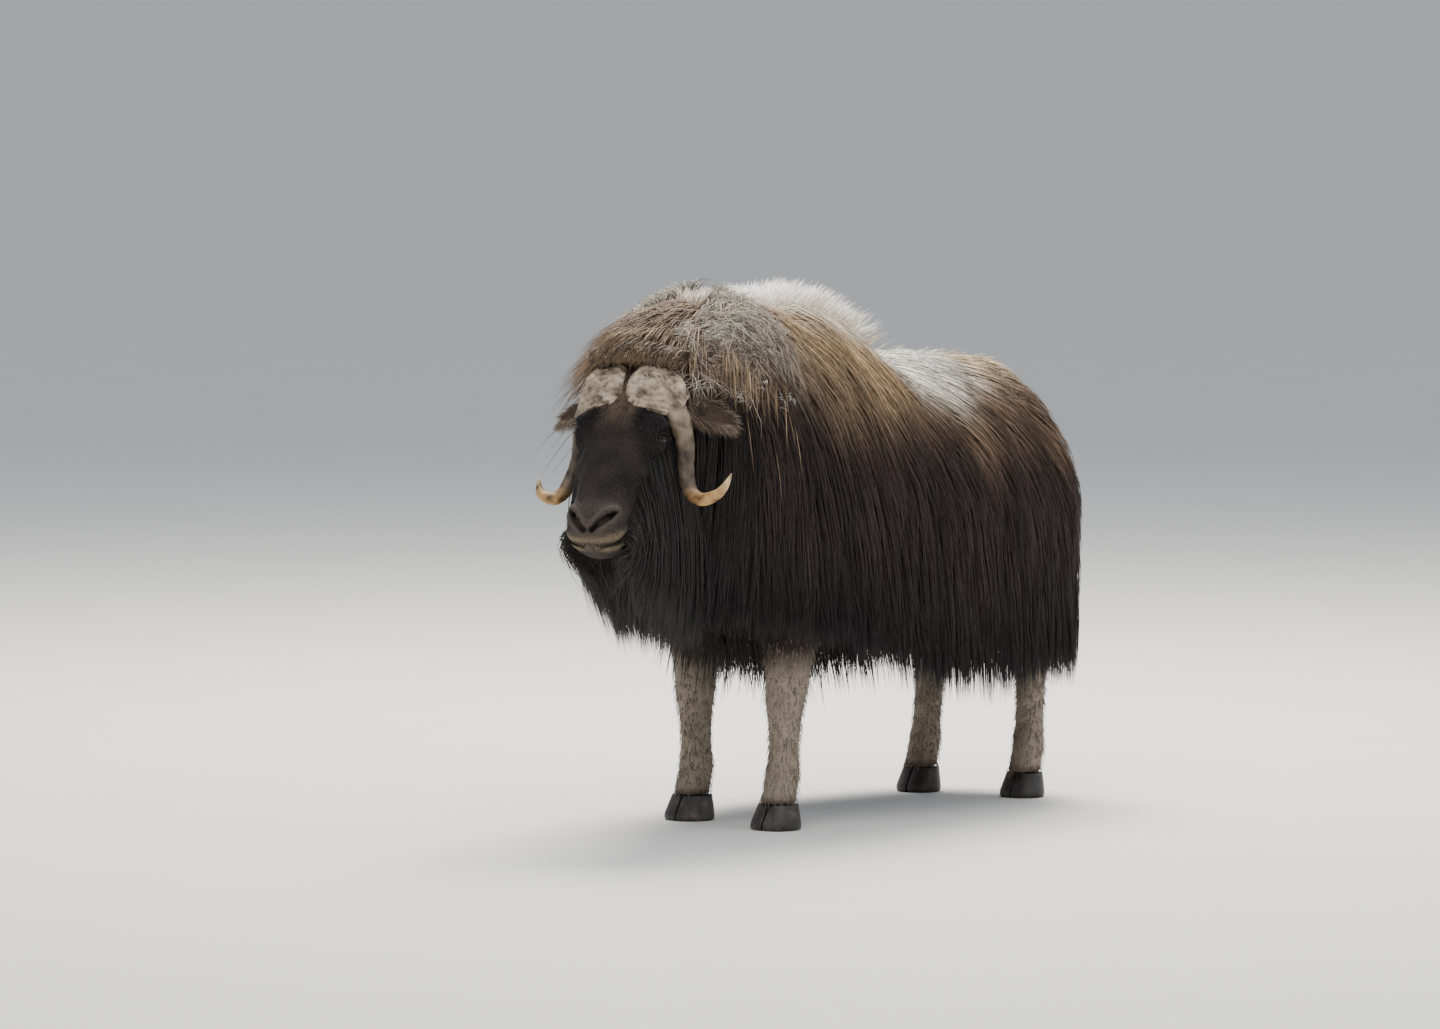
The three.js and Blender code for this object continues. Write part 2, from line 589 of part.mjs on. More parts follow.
// Random numbers from a fixed seed, so that the coat comes out the same each time
let seed = 20;
function random() {
  seed = (seed + 0x6d2b79f5) | 0;
  let mixed = Math.imul(seed ^ (seed >>> 15), 1 | seed);
  mixed = (mixed + Math.imul(mixed ^ (mixed >>> 7), 61 | mixed)) ^ mixed;
  return ((mixed ^ (mixed >>> 14)) >>> 0) / 2 ** 32;
}
const jitter = (amount) => (random() * 2 - 1) * amount;

// A flat lock that tapers to a point, along a path of { at, out } where out points out of the coat
const LOCK_PROFILE = [0.7, 1, 0.96, 0.66];
function lock(path, halfWidth, halfThickness) {
  const positions = [];
  const index = [];
  path.forEach(({ at, out }, i) => {
    if (i === path.length - 1) {
      positions.push(...at);
      return;
    }
    const along = path[i + 1].at.clone().sub(path[Math.max(i - 1, 0)].at).normalize();
    const across = along.clone().cross(out).normalize();
    const up = across.clone().cross(along);
    const half = halfWidth * LOCK_PROFILE[i];
    for (const [w, t] of [[1, 0], [0, 1], [-1, 0], [0, -1]]) {
      const corner = at.clone().addScaledVector(across, w * half).addScaledVector(up, t * halfThickness);
      positions.push(...corner);
    }
  });
  index.push(0, 1, 2, 0, 2, 3);
  const rings = path.length - 1;
  for (let r = 0; r < rings; r++) {
    for (let i = 0; i < 4; i++) {
      const [a, b] = [r * 4 + i, r * 4 + ((i + 1) % 4)];
      if (r === rings - 1) index.push(b, a, rings * 4);
      else index.push(b, a, a + 4, b, a + 4, b + 4);
    }
  }
  return solidOf(
    new THREE.BufferGeometry()
      .setAttribute("position", new THREE.Float32BufferAttribute(positions, 3))
      .setIndex(index),
  );
}

// The way out of the coat at a place on it
function coatOut(y, turn, down) {
  const { outward } = columnAt(y, turn);
  const arc = Math.min(down / WIDEST, 1) * QUARTER_TURN;
  return new THREE.Vector3(outward.x * Math.sin(arc), outward.y * Math.sin(arc), Math.cos(arc)).normalize();
}

// A lock that springs from inside the core, lies along the coat and drifts backwards to its tip
const LOCK_STEPS = [0, 0.28, 0.55, 0.8, 1];
const LOCK_LAYERS = [0.3, 0.66, 0.92, 1, 1];
function coatLock({ y, turn, from, to, drift, halfWidth, halfThickness }) {
  const path = LOCK_STEPS.map((step, i) => {
    const down = THREE.MathUtils.lerp(from, to, step);
    const yHere = y + drift * step;
    return {
      at: coatPoint(yHere, turn, down, LOCK_LAYERS[i]),
      out: coatOut(yHere, turn, down),
    };
  });
  return lock(path, halfWidth, halfThickness);
}

// Tiers of locks from the ridge of the back to the hem: how far down each starts and ends, how far it
// drifts back, and how many locks it has along a side, round the rear and round the throat
const TIERS = [
  { from: 0.06, to: 0.4, drift: 90, side: 8, rear: 3, throat: 0 },
  { from: 0.22, to: 0.62, drift: 70, side: 9, rear: 4, throat: 1 },
  { from: 0.42, to: 0.84, drift: 50, side: 9, rear: 5, throat: 2 },
  { from: 0.62, to: 1.03, drift: 30, side: 10, rear: 6, throat: 2 },
];
const HALF_WIDTH = 78;
const HALF_THICKNESS = 13;

// Where a tier's locks spring from: along both sides, round the rear and round the throat
function tierPlaces({ side, rear, throat }, shift) {
  const places = [];
  for (let i = 0; i < side; i++) {
    const y = THREE.MathUtils.lerp(POLL_Y, HIP_Y, (i + shift) / side);
    places.push({ y, turn: 0 }, { y, turn: HALF_TURN });
  }
  for (let i = 0; i < rear; i++) places.push({ y: HIP_Y, turn: (HALF_TURN * (i + 0.5)) / rear });
  for (let i = 0; i < throat; i++) {
    places.push({ y: POLL_Y, turn: HALF_TURN * (1 + (i + 0.5) / throat) });
  }
  return places;
}

function coatLocks() {
  return TIERS.flatMap((tier, row) =>
    tierPlaces(tier, (row % 2) / 2).map(({ y, turn }) => {
      const round = turn % HALF_TURN > 0;
      return coatLock({
        y: y + (round ? 0 : jitter(8)),
        turn: turn + (round ? jitter(0.03) : 0),
        from: tier.from + jitter(0.02),
        to: tier.to + jitter(0.03),
        drift: round ? 0 : tier.drift * (1 + jitter(0.2)),
        halfWidth: HALF_WIDTH * (1 + jitter(0.08)),
        halfThickness: HALF_THICKNESS * (1 + jitter(0.12)),
      });
    }),
  );
}

// The crest: locks along the ridge of the back that lean backwards
const CREST_LOCKS = 6;
function crestLocks() {
  return Array.from({ length: CREST_LOCKS }, (_, i) => {
    const start = THREE.MathUtils.lerp(POLL_Y - 20, HIP_Y + 60, i / (CREST_LOCKS - 1));
    const path = LOCK_STEPS.map((step, k) => {
      const y = Math.min(start + 260 * step, HIP_Y + REAR_REACH * 0.4);
      const down = 0.02 + Math.max(y - HIP_Y, 0) / REAR_REACH * 0.2;
      return { at: coatPoint(Math.min(y, HIP_Y), y > HIP_Y ? QUARTER_TURN : 0, down, LOCK_LAYERS[k]), out: upward };
    });
    return lock(path, HALF_WIDTH, HALF_THICKNESS);
  });
}

// The beard: its core, as slices across the head's way from the throat to the chin, and its locks
const BEARD = [
  { ahead: -120, top: 960, low: 600, half: 80 },
  { ahead: -60, top: 930, low: 610, half: 76 },
  { ahead: 0, top: 890, low: 640, half: 66 },
  { ahead: 50, top: 850, low: 690, half: 54 },
  { ahead: 95, top: 815, low: 730, half: 38 },
];
const BEARD_SIDES = 10;
function beardForm() {
  return loft(
    BEARD.map(({ ahead, top, low, half }) =>
      Array.from({ length: BEARD_SIDES }, (_, i) => {
        const angle = (FULL_TURN * i) / BEARD_SIDES;
        const middle = HEAD_PLACE.clone().addScaledVector(forward, ahead);
        return middle
          .addScaledVector(leftOfHead, half * Math.cos(angle))
          .setZ((top + low) / 2 + ((top - low) / 2) * Math.sin(angle));
      }),
    ),
  );
}
const BEARD_LOCKS = [
  { ahead: 122, across: 0, top: 800, low: 690, half: 42 },
  { ahead: 104, across: 36, top: 806, low: 650, half: 42 },
  { ahead: 104, across: -36, top: 806, low: 656, half: 42 },
  { ahead: 72, across: 0, top: 760, low: 618, half: 48 },
  { ahead: 62, across: 58, top: 826, low: 606, half: 48 },
  { ahead: 62, across: -58, top: 826, low: 600, half: 48 },
  { ahead: 24, across: 34, top: 740, low: 566, half: 50 },
  { ahead: 8, across: 76, top: 850, low: 560, half: 52 },
  { ahead: 8, across: -76, top: 850, low: 552, half: 52 },
];
function beardLocks() {
  return BEARD_LOCKS.map(({ ahead, across, top, low, half }) => {
    const out = leftOfHead.clone().multiplyScalar(across).addScaledVector(forward, 30).normalize();
    const path = LOCK_STEPS.map((step) => ({
      at: HEAD_PLACE.clone()
        .addScaledVector(forward, ahead - 34 * step)
        .addScaledVector(leftOfHead, across * (0.62 + 0.3 * Math.sin(step * HALF_TURN)))
        .setZ(THREE.MathUtils.lerp(top, low, step)),
      out,
    }));
    return lock(path, half, HALF_THICKNESS);
  });
}

// The tail, short and hanging close against the rump
const TAIL = [
  { at: [0, 1080, 990], ref: [1, 0, 0], wide: 26, thick: 20 },
  { at: [0, 1136, 940], ref: [1, 0, 0], wide: 38, thick: 24 },
  { at: [0, 1150, 870], ref: [1, 0, 0], wide: 40, thick: 22 },
  { at: [0, 1152, 800], ref: [1, 0, 0], wide: 12, thick: 8 },
];
const tailSolid = (grow = 0) => solidOf(sweep(TAIL, 9, 10, grow));

// The body: a closed core half way out through the coat, with the locks joined on
const CORE_LAYER = 0.5;
const CORE_LEVELS = [0, 0.07, 0.16, 0.28, 0.42, WIDEST, 0.72, 0.86, 1];
const coreRings = bodyForm(corePoint, CORE_LAYER, CORE_LEVELS);
const coat = wasm.Manifold.union([...coatLocks(), ...crestLocks(), ...beardLocks()]);
const body = joined([solidOf(loft(coreRings)), solidOf(beardForm()), ...legSolids, coat])
  .subtract(headRoom)
  .subtract(tailSolid(GAP))
  .subtract(legRoom);

const NECK_SPLIT_X = 45;
const THROAT_Y = -718;
const cells = {
  beard: [[-FAR, -FAR, -FAR], [FAR, THROAT_Y, FAR], coatBrown],
  neck_left: [[NECK_SPLIT_X + GAP, THROAT_Y + GAP, -FAR], [FAR, NECK_CUT_Y - GAP, FAR], maneTan],
  neck_right: [[-FAR, THROAT_Y + GAP, -FAR], [NECK_SPLIT_X, NECK_CUT_Y - GAP, FAR], maneTan],
  hump: [[-SIDE_CUT_X, NECK_CUT_Y, -FAR], [SIDE_CUT_X, SHOULDER_CUT_Y - GAP, FAR], maneTan],
  shoulder_left: [[SIDE_CUT_X + GAP, NECK_CUT_Y, -FAR], [FAR, SHOULDER_CUT_Y - GAP, FAR], coatBrown],
  shoulder_right: [[-FAR, NECK_CUT_Y, -FAR], [-SIDE_CUT_X - GAP, SHOULDER_CUT_Y - GAP, FAR], coatBrown],
  back: [[-SIDE_CUT_X, SHOULDER_CUT_Y, -FAR], [SIDE_CUT_X, HAUNCH_CUT_Y - GAP, FAR], coatPale],
  flank_left: [[SIDE_CUT_X + GAP, SHOULDER_CUT_Y, -FAR], [FAR, HAUNCH_CUT_Y - GAP, FAR], coatBrown],
  flank_right: [[-FAR, SHOULDER_CUT_Y, -FAR], [-SIDE_CUT_X - GAP, HAUNCH_CUT_Y - GAP, FAR], coatBrown],
  rump: [[-SIDE_CUT_X, HAUNCH_CUT_Y, -FAR], [SIDE_CUT_X, FAR, FAR], coatBrown],
  haunch_left: [[SIDE_CUT_X + GAP, HAUNCH_CUT_Y, -FAR], [FAR, FAR, FAR], coatBrown],
  haunch_right: [[-FAR, HAUNCH_CUT_Y, -FAR], [-SIDE_CUT_X - GAP, FAR, FAR], coatBrown],
};
for (const [name, [low, high, material]] of Object.entries(cells)) {
  addNode(name, body.intersect(boxBetween(low, high)), material);
}
addNode("tail", tailSolid(), coatBrown);

export default muskox;
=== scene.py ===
"""The looks of a life-size muskox bull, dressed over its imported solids, in metres."""

import math

import bmesh
import bpy
import numpy as np
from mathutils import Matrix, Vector


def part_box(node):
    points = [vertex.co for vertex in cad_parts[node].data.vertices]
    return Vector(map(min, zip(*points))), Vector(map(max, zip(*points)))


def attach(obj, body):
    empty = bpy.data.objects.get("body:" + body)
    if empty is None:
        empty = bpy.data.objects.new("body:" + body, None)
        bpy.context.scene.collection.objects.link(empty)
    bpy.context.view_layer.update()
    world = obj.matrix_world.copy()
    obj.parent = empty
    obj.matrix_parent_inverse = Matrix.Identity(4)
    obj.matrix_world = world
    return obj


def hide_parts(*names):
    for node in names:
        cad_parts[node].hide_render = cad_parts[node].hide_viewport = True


bl_info = {
    "name": "Muskox",
    "version": (1, 0, 0),
    "blender": (4, 5, 0),
    "location": "View3D > Sidebar > Muskox",
    "description": "Makes a muskox bull: skin, coat, horns, eyes and hooves",
    "category": "Add Mesh",
}

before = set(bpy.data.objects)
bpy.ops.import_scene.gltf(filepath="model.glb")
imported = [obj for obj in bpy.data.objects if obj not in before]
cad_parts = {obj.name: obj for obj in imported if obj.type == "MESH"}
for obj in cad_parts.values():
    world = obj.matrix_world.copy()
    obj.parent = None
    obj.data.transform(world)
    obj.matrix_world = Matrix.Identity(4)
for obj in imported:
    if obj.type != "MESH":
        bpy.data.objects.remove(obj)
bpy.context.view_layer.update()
TURN = 2 * math.pi
HALF_TURN = math.pi
QUARTER_TURN = math.pi / 2

# Sizes of the body

# The coat's outer form at stations along the spine: y, bend to the side x, height of the back top,
# half width reach at the height wide, belly line, hem of the hanging hair, depth of the coat on top
# and at the side, how steep the back's cross-section is, and how far the hair is tucked in at the hem
STATION_KEYS = ("y", "x", "top", "reach", "wide", "belly", "hem", "top_coat", "side_coat", "arc", "tuck")
STATIONS = (
    (-0.560, 0.066, 1.382, 0.200, 1.080, 0.830, 0.545, 0.080, 0.080, 0.95, 0.40),
    (-0.430, 0.034, 1.434, 0.280, 1.000, 0.660, 0.545, 0.120, 0.110, 0.92, 0.30),
    (-0.250, 0.006, 1.462, 0.358, 0.920, 0.530, 0.530, 0.150, 0.140, 0.95, 0.14),
    (0.000, 0.000, 1.450, 0.402, 0.870, 0.485, 0.450, 0.150, 0.140, 1.06, 0.06),
    (0.130, 0.000, 1.418, 0.408, 0.860, 0.485, 0.395, 0.150, 0.135, 1.20, 0.05),
    (0.230, 0.000, 1.346, 0.410, 0.850, 0.490, 0.365, 0.120, 0.130, 1.20, 0.05),
    (0.310, 0.000, 1.284, 0.409, 0.840, 0.495, 0.350, 0.085, 0.125, 1.12, 0.05),
    (0.400, 0.000, 1.262, 0.407, 0.825, 0.505, 0.340, 0.060, 0.120, 1.06, 0.05),
    (0.600, 0.000, 1.252, 0.398, 0.805, 0.520, 0.335, 0.050, 0.115, 1.06, 0.05),
    (0.850, 0.000, 1.236, 0.366, 0.790, 0.560, 0.350, 0.070, 0.105, 1.12, 0.05),
)
POLL_Y, HIP_Y = STATIONS[0][0], STATIONS[-1][0]
FRONT_REACH, REAR_REACH, END_COAT = 0.150, 0.270, 0.060
WIDEST = 0.55
SKIN_LAYER = 0.12

# The head's frame: s to its left, u out of the face, f down along the face from the top of the boss
HEAD_PLACE = np.array((0.113, -0.736, 1.246))
HEAD_YAW, FACE_SLOPE = math.radians(14), math.radians(35)
AHEAD = np.array((math.sin(HEAD_YAW), -math.cos(HEAD_YAW), 0))
HEAD_LEFT = np.array((math.cos(HEAD_YAW), math.sin(HEAD_YAW), 0))
UP = np.array((0.0, 0.0, 1.0))
OUT_OF_FACE = AHEAD * math.cos(FACE_SLOPE) + UP * math.sin(FACE_SLOPE)
DOWN_FACE = AHEAD * math.sin(FACE_SLOPE) - UP * math.cos(FACE_SLOPE)
HEAD_AXES = np.stack((HEAD_LEFT, OUT_OF_FACE, DOWN_FACE))

# Sections of the head: f, the face's line, the jaw's line, half width, squareness, level of the widest
HEAD_SECTIONS = (
    (-0.070, -0.105, -0.185, 0.062, 2.0, 0.50),
    (-0.050, -0.062, -0.225, 0.098, 2.2, 0.45),
    (0.000, -0.014, -0.262, 0.112, 2.4, 0.42),
    (0.060, -0.004, -0.280, 0.116, 2.5, 0.40),
    (0.120, -0.002, -0.284, 0.116, 2.6, 0.36),
    (0.180, -0.004, -0.274, 0.113, 2.6, 0.30),
    (0.240, -0.008, -0.250, 0.106, 2.6, 0.28),
    (0.300, -0.010, -0.220, 0.095, 2.5, 0.30),
    (0.360, -0.010, -0.192, 0.082, 2.4, 0.38),
    (0.410, -0.008, -0.174, 0.078, 2.4, 0.42),
    (0.448, -0.012, -0.162, 0.076, 2.4, 0.45),
    (0.476, -0.032, -0.150, 0.066, 2.2, 0.45),
    (0.492, -0.062, -0.132, 0.042, 2.0, 0.45),
)
EYE_AT = np.array((0.110, -0.062, 0.162))
EYE_RADIUS = 0.020
ORBIT_AT = np.array((0.088, -0.060, 0.158))
MOUTH_FRONT = np.array((-0.064, 0.494))
MOUTH_CORNER = np.array((-0.128, 0.384))
NOSTRIL = ((0.060, -0.036, 0.408), (0.050, -0.023, 0.428), (0.032, -0.018, 0.448), (0.012, -0.026, 0.466))

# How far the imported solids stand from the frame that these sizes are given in
EYE_LOW, EYE_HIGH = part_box("eye_left")
EYE_IN_SIZES = HEAD_PLACE + EYE_AT @ HEAD_AXES
SHIFT = (np.array(EYE_LOW) + np.array(EYE_HIGH)) / 2 - EYE_IN_SIZES


# Curves and forms


def smooth_through(xs, ys, x):
    """Values at x of a curve that joins the points smoothly and never overshoots them."""
    xs, ys = np.asarray(xs, float), np.asarray(ys, float)
    x = np.clip(x, xs[0], xs[-1])
    slopes = np.diff(ys) / np.diff(xs)
    tangents = np.zeros_like(ys)
    tangents[0], tangents[-1] = slopes[0], slopes[-1]
    before, after = slopes[:-1], slopes[1:]
    same = before * after > 0
    total = np.where(same, before + after, 1)
    tangents[1:-1] = np.where(same, 2 * before * after / total, 0)
    i = np.clip(np.searchsorted(xs, x, side="right") - 1, 0, len(xs) - 2)
    h = xs[i + 1] - xs[i]
    t = (x - xs[i]) / h
    return (
        ys[i] * (1 + 2 * t) * (1 - t) ** 2
        + h * tangents[i] * t * (1 - t) ** 2
        + ys[i + 1] * t * t * (3 - 2 * t)
        + h * tangents[i + 1] * t * t * (t - 1)
    )


STATION_TABLE = np.array(STATIONS)
BEND_STEP = 0.001
LONGEST_HANG = 1.2
BELLY_ROUNDING = 0.8
TINY = 1e-9
STATION_YS = STATION_TABLE[:, 0]


def along(key, y):
    """A measure of the body at a place on the spine."""
    return smooth_through(STATION_YS, STATION_TABLE[:, STATION_KEYS.index(key)], y)


def column(y, turn):
    """A coat column's place on the spine, its turn round the body's ends, and its way out in plan."""
    y, turn = np.broadcast_arrays(np.asarray(y, float), np.asarray(turn, float))
    side = np.where(np.cos(turn) >= 0, 1.0, -1.0)
    past = np.where(y > HIP_Y, y - HIP_Y, np.where(y < POLL_Y, y - POLL_Y, 0))
    on_spine = np.clip(y, POLL_Y, HIP_Y)
    turned = turn + side * past / REAR_REACH
    bend = (along("x", on_spine + BEND_STEP) - along("x", on_spine - BEND_STEP)) / (2 * BEND_STEP)
    length = np.hypot(bend, 1)
    back = np.stack((bend / length, 1 / length), -1)
    left = np.stack((back[..., 1], -back[..., 0]), -1)
    out = left * np.cos(turned)[..., None] + back * np.sin(turned)[..., None]
    return on_spine, turned, out


def coat_point(y, turn, down, layer, closed=False):
    """A point of the coat: down is 0 on the ridge, WIDEST where the body is widest and 1 at the hem.
    layer is 0 on the skin and 1 at the coat's tips. A closed form rounds in to the belly instead."""
    on_spine, turned, out = column(y, turn)
    down, layer = np.asarray(down, float), np.asarray(layer, float)
    bare = 1 - layer
    side = along("reach", on_spine) - bare * along("side_coat", on_spine)
    end = np.where(np.sin(turned) >= 0, REAR_REACH, FRONT_REACH) - bare * END_COAT
    reach = 1 / np.hypot(np.cos(turned) / side, np.sin(turned) / end)
    arc = np.clip(down / WIDEST, 0, 1) * QUARTER_TURN
    hang = np.clip((down - WIDEST) / (1 - WIDEST), 0, LONGEST_HANG)
    power = along("arc", on_spine)
    wide = along("wide", on_spine)
    top = along("top", on_spine) - bare * along("top_coat", on_spine)
    across = reach * np.sin(arc) ** power
    level = wide + (top - wide) * np.maximum(np.cos(arc), 0) ** power
    if closed:
        under = np.clip(hang, 0, 1) * QUARTER_TURN
        across = across * np.maximum(np.cos(under), 0) ** BELLY_ROUNDING
        level = level - (wide - along("belly", on_spine)) * np.sin(under)
    else:
        across = across * (1 - along("tuck", on_spine) * hang)
        level = level - (wide - along("hem", on_spine)) * hang
    plan = np.stack((along("x", on_spine), on_spine), -1) + out * across[..., None]
    return np.concatenate((plan, level[..., None]), -1)


def coat_out(y, turn, down):
    """The way out of the coat at a place on it."""
    _, _, out = column(y, turn)
    arc = np.clip(np.asarray(down, float) / WIDEST, 0, 1) * QUARTER_TURN
    plan = out * np.sin(arc)[..., None]
    return unit(np.concatenate((plan, np.cos(arc)[..., None] + 0 * plan[..., :1]), -1))


def unit(vectors):
    """The vectors, each one long."""
    return vectors / np.maximum(np.linalg.norm(vectors, axis=-1, keepdims=True), TINY)


HEAD_TABLE = np.array(HEAD_SECTIONS)


def of_head(index, f):
    """A measure of the head, one column of its sections, at places f along the face."""
    return smooth_through(HEAD_TABLE[:, 0], HEAD_TABLE[:, index], f)


def head_surface(f, angle):
    """Points of the head, in its own frame, at f and an angle that is 0 on its left and grows to the face."""
    face, jaw, half, square, widest = (of_head(i, f) for i in range(1, 6))
    middle = face - (face - jaw) * widest
    power = 2 / square
    across, out = np.cos(angle), np.sin(angle)
    s = half * np.sign(across) * np.abs(across) ** power
    u = middle + np.where(out >= 0, face - middle, middle - jaw) * np.sign(out) * np.abs(out) ** power
    return np.stack((s, u, f + 0 * s), -1)


def from_head(points):
    """Points of the head's frame, in the frame of the sizes."""
    return HEAD_PLACE + points @ HEAD_AXES


def to_head(points):
    """Points of the sizes' frame, in the head's own."""
    return (points - HEAD_PLACE) @ HEAD_AXES.T


def mirrored(points):
    """Points of the head, all on its left."""
    return np.stack((np.abs(points[..., 0]), points[..., 1], points[..., 2]), -1)


def fall_off(distance, half):
    """A smooth bell over a distance: 1 at 0, and small past the half width."""
    return np.exp(-((distance / half) ** 2))


def bump(points, centre, half, lift, mirror=True):
    """How far a smooth bump at centre, with half sizes half, lifts each point."""
    total = np.zeros(points.shape[:-1])
    for side in (1, -1) if mirror else (1,):
        at = np.array(centre) * (side, 1, 1)
        distance = np.linalg.norm((points - at) / np.array(half), axis=-1)
        total += lift * np.clip(1 - distance**2, 0, 1) ** 2
    return total


# Meshes


def mesh_object(name, points, faces, shift=True):
    """A mesh object from points and equal-length faces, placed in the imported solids' frame."""
    points = np.asarray(points, np.float32)
    if shift:
        points = points + SHIFT.astype(np.float32)
    faces = np.asarray(faces, np.int32)
    count, sides = faces.shape
    mesh = bpy.data.meshes.new(name)
    mesh.vertices.add(len(points))
    mesh.vertices.foreach_set("co", points.ravel())
    mesh.loops.add(count * sides)
    mesh.loops.foreach_set("vertex_index", faces.ravel())
    mesh.polygons.add(count)
    mesh.polygons.foreach_set("loop_start", np.arange(0, count * sides, sides, dtype=np.int32))
    mesh.polygons.foreach_set("use_smooth", np.ones(count, bool))
    mesh.update(calc_edges=True)
    made = bpy.data.objects.new(name, mesh)
    bpy.context.scene.collection.objects.link(made)
    return made


def grid_faces(rows, columns, first=0):
    """Quads of a grid whose rows close round, each row of equally many points."""
    r, c = np.meshgrid(np.arange(rows - 1), np.arange(columns), indexing="ij")
    a = first + r * columns + c
    b = first + r * columns + (c + 1) % columns
    return np.stack((a, b, b + columns, a + columns), -1).reshape(-1, 4)


def loft_object(name, rings):
    """A closed mesh through rings of equally many points, with its ends drawn to their middles."""
    rings = np.asarray(rings)
    sides = rings.shape[1]
    first, last = (np.repeat(ring.mean(0)[None, None], sides, 1) for ring in (rings[0], rings[-1]))
    closed = np.concatenate((first, rings, last))
    made = mesh_object(name, closed.reshape(-1, 3), grid_faces(*closed.shape[:2]))
    finish_mesh(made)
    return made


MERGE_DISTANCE = 1e-5


def finish_mesh(obj):
    """Merges doubles and points every face outwards."""
    work = bmesh.new()
    work.from_mesh(obj.data)
    bmesh.ops.remove_doubles(work, verts=work.verts, dist=MERGE_DISTANCE)
    bmesh.ops.recalc_face_normals(work, faces=work.faces)
    work.to_mesh(obj.data)
    work.free()
    for polygon in obj.data.polygons:
        polygon.use_smooth = True


def apply_modifiers(obj):
    """Leaves the object with the mesh that its modifiers give, and no modifier."""
    made = bpy.data.meshes.new_from_object(obj.evaluated_get(bpy.context.evaluated_depsgraph_get()))
    obj.modifiers.clear()
    obj.data = made


def join(name, objects):
    """One object made of the given ones."""
    with bpy.context.temp_override(active_object=objects[0], selected_editable_objects=objects):
        bpy.ops.object.join()
    objects[0].name = objects[0].data.name = name
    return objects[0]


def vertex_points(mesh):
    """The places of a mesh's vertices."""
    points = np.empty(len(mesh.vertices) * 3, np.float32)
    mesh.vertices.foreach_get("co", points)
    return points.reshape(-1, 3).astype(float)


PAINT_NAME = "Coat"


def paint(mesh, colours):
    """Stores a colour for each vertex, which the piece's material reads."""
    layer = mesh.color_attributes.new(PAINT_NAME, "FLOAT_COLOR", "POINT")
    full = np.ones((len(mesh.vertices), 4), np.float32)
    full[:, :3] = colours
    layer.data.foreach_set("color", full.ravel())


def paint_all(mesh, colour):
    """Stores one colour for every vertex."""
    paint(mesh, np.tile(colour, (len(mesh.vertices), 1)))


# Markings


def srgb(*values):
    """A colour for a shader from the three values, 0 to 255, that a screen shows."""
    return np.array([(v / 255 / 12.92) if v <= 10 else ((v / 255 + 0.055) / 1.055) ** 2.4 for v in values])


def dye(name):
    """A colour of the settings."""
    return np.array(getattr(bpy.context.scene.muskox_colours, name))


# Shades that come in small spots only
BROW_TOP, FACE_BROWN, MUZZLE_GREY = srgb(104, 88, 72), srgb(54, 46, 44), srgb(66, 58, 54)
# Painted shade: the second colour on the next line darkens the orbit round the eye
MOUTH_LINE, PAINTED_EYE_SHADE = srgb(12, 9, 9), srgb(20, 15, 16)
# Painted shadow: the first colour on the next line is the shadow of the boss and brow over the eye; the
# second is painted shade under the jaw
BOSS_SHADOW, JAW_SHADE = srgb(17, 13, 14), srgb(20, 15, 18)
# Painted highlight: the first colour on the next line lights the top of the nose round the nostrils
NOSTRIL_HIGHLIGHT, NOSTRIL_HOLE = srgb(92, 84, 74), srgb(10, 7, 8)
EAR_SKIN, EAR_DARK, EAR_PALE, LID = srgb(70, 58, 50), srgb(84, 70, 60), srgb(150, 132, 112), srgb(34, 27, 26)
ANKLE_SKIN, ANKLE_HAIR, WHITE_WOOL = srgb(96, 84, 72), srgb(104, 90, 76), srgb(236, 234, 226)
TAILWARD = np.array((0.0, 1.0, 0.0))


def step(low_edge, high_edge, value):
    """A smooth rise from 0 at the first edge to 1 at the second, or a fall where the first is higher."""
    t = np.clip((value - low_edge) / (high_edge - low_edge), 0, 1)
    return t * t * (3 - 2 * t)


def mix(a, b, share):
    """The colours a and b, mixed by a share of b for each point."""
    return a + (b - a) * share[..., None]


RIPPLE_WAVES, RIPPLE_RANGE = 7, 9


def ripple(points, scale, seed):
    """Soft noise from 0 to 1 over space, the same on skin and coat."""
    rng = np.random.default_rng(seed)
    total = np.zeros(points.shape[:-1])
    for _ in range(RIPPLE_WAVES):
        way = rng.normal(size=3)
        way /= np.linalg.norm(way) * scale * rng.uniform(0.6, 1.5)
        total += np.sin(points @ way * TURN + rng.uniform(0, TURN))
    return 0.5 + total / RIPPLE_RANGE


# Bands of the markings, each from its start to where it is full: down from the ridge, or y along the spine
WAVE_SCALE, WAVE_HEIGHT = 0.32, 0.12
DARK_DOWN, BLACK_DOWN = (0.26, 0.5), (0.62, 1.0)
TAN_DOWN, TAN_REAR, TAN_FRONT, TAN_ELSEWHERE = (0.46, 0.24), (0.30, 0.16), (-0.72, -0.5), 0.35
CREAM_DOWN, CREAM_REAR, CREAM_FRONT = (0.22, 0.06), (0.3, 0.12), (-0.38, -0.22)
SADDLE_DOWN, SADDLE_FRONT, SADDLE_REAR = (0.32, 0.18), (0.22, 0.36), (0.76, 0.60)
RUMP_DOWN, RUMP_FRONT, RUMP_BROWN, RUMP_SHARE = (0.45, 0.2), (0.62, 0.80), (0.06, 0.30), 0.85
CHEST_DOWN, CHEST_REAR, CHEST_SHARE = (0.3, 0.6), (-0.3, -0.5), 0.7


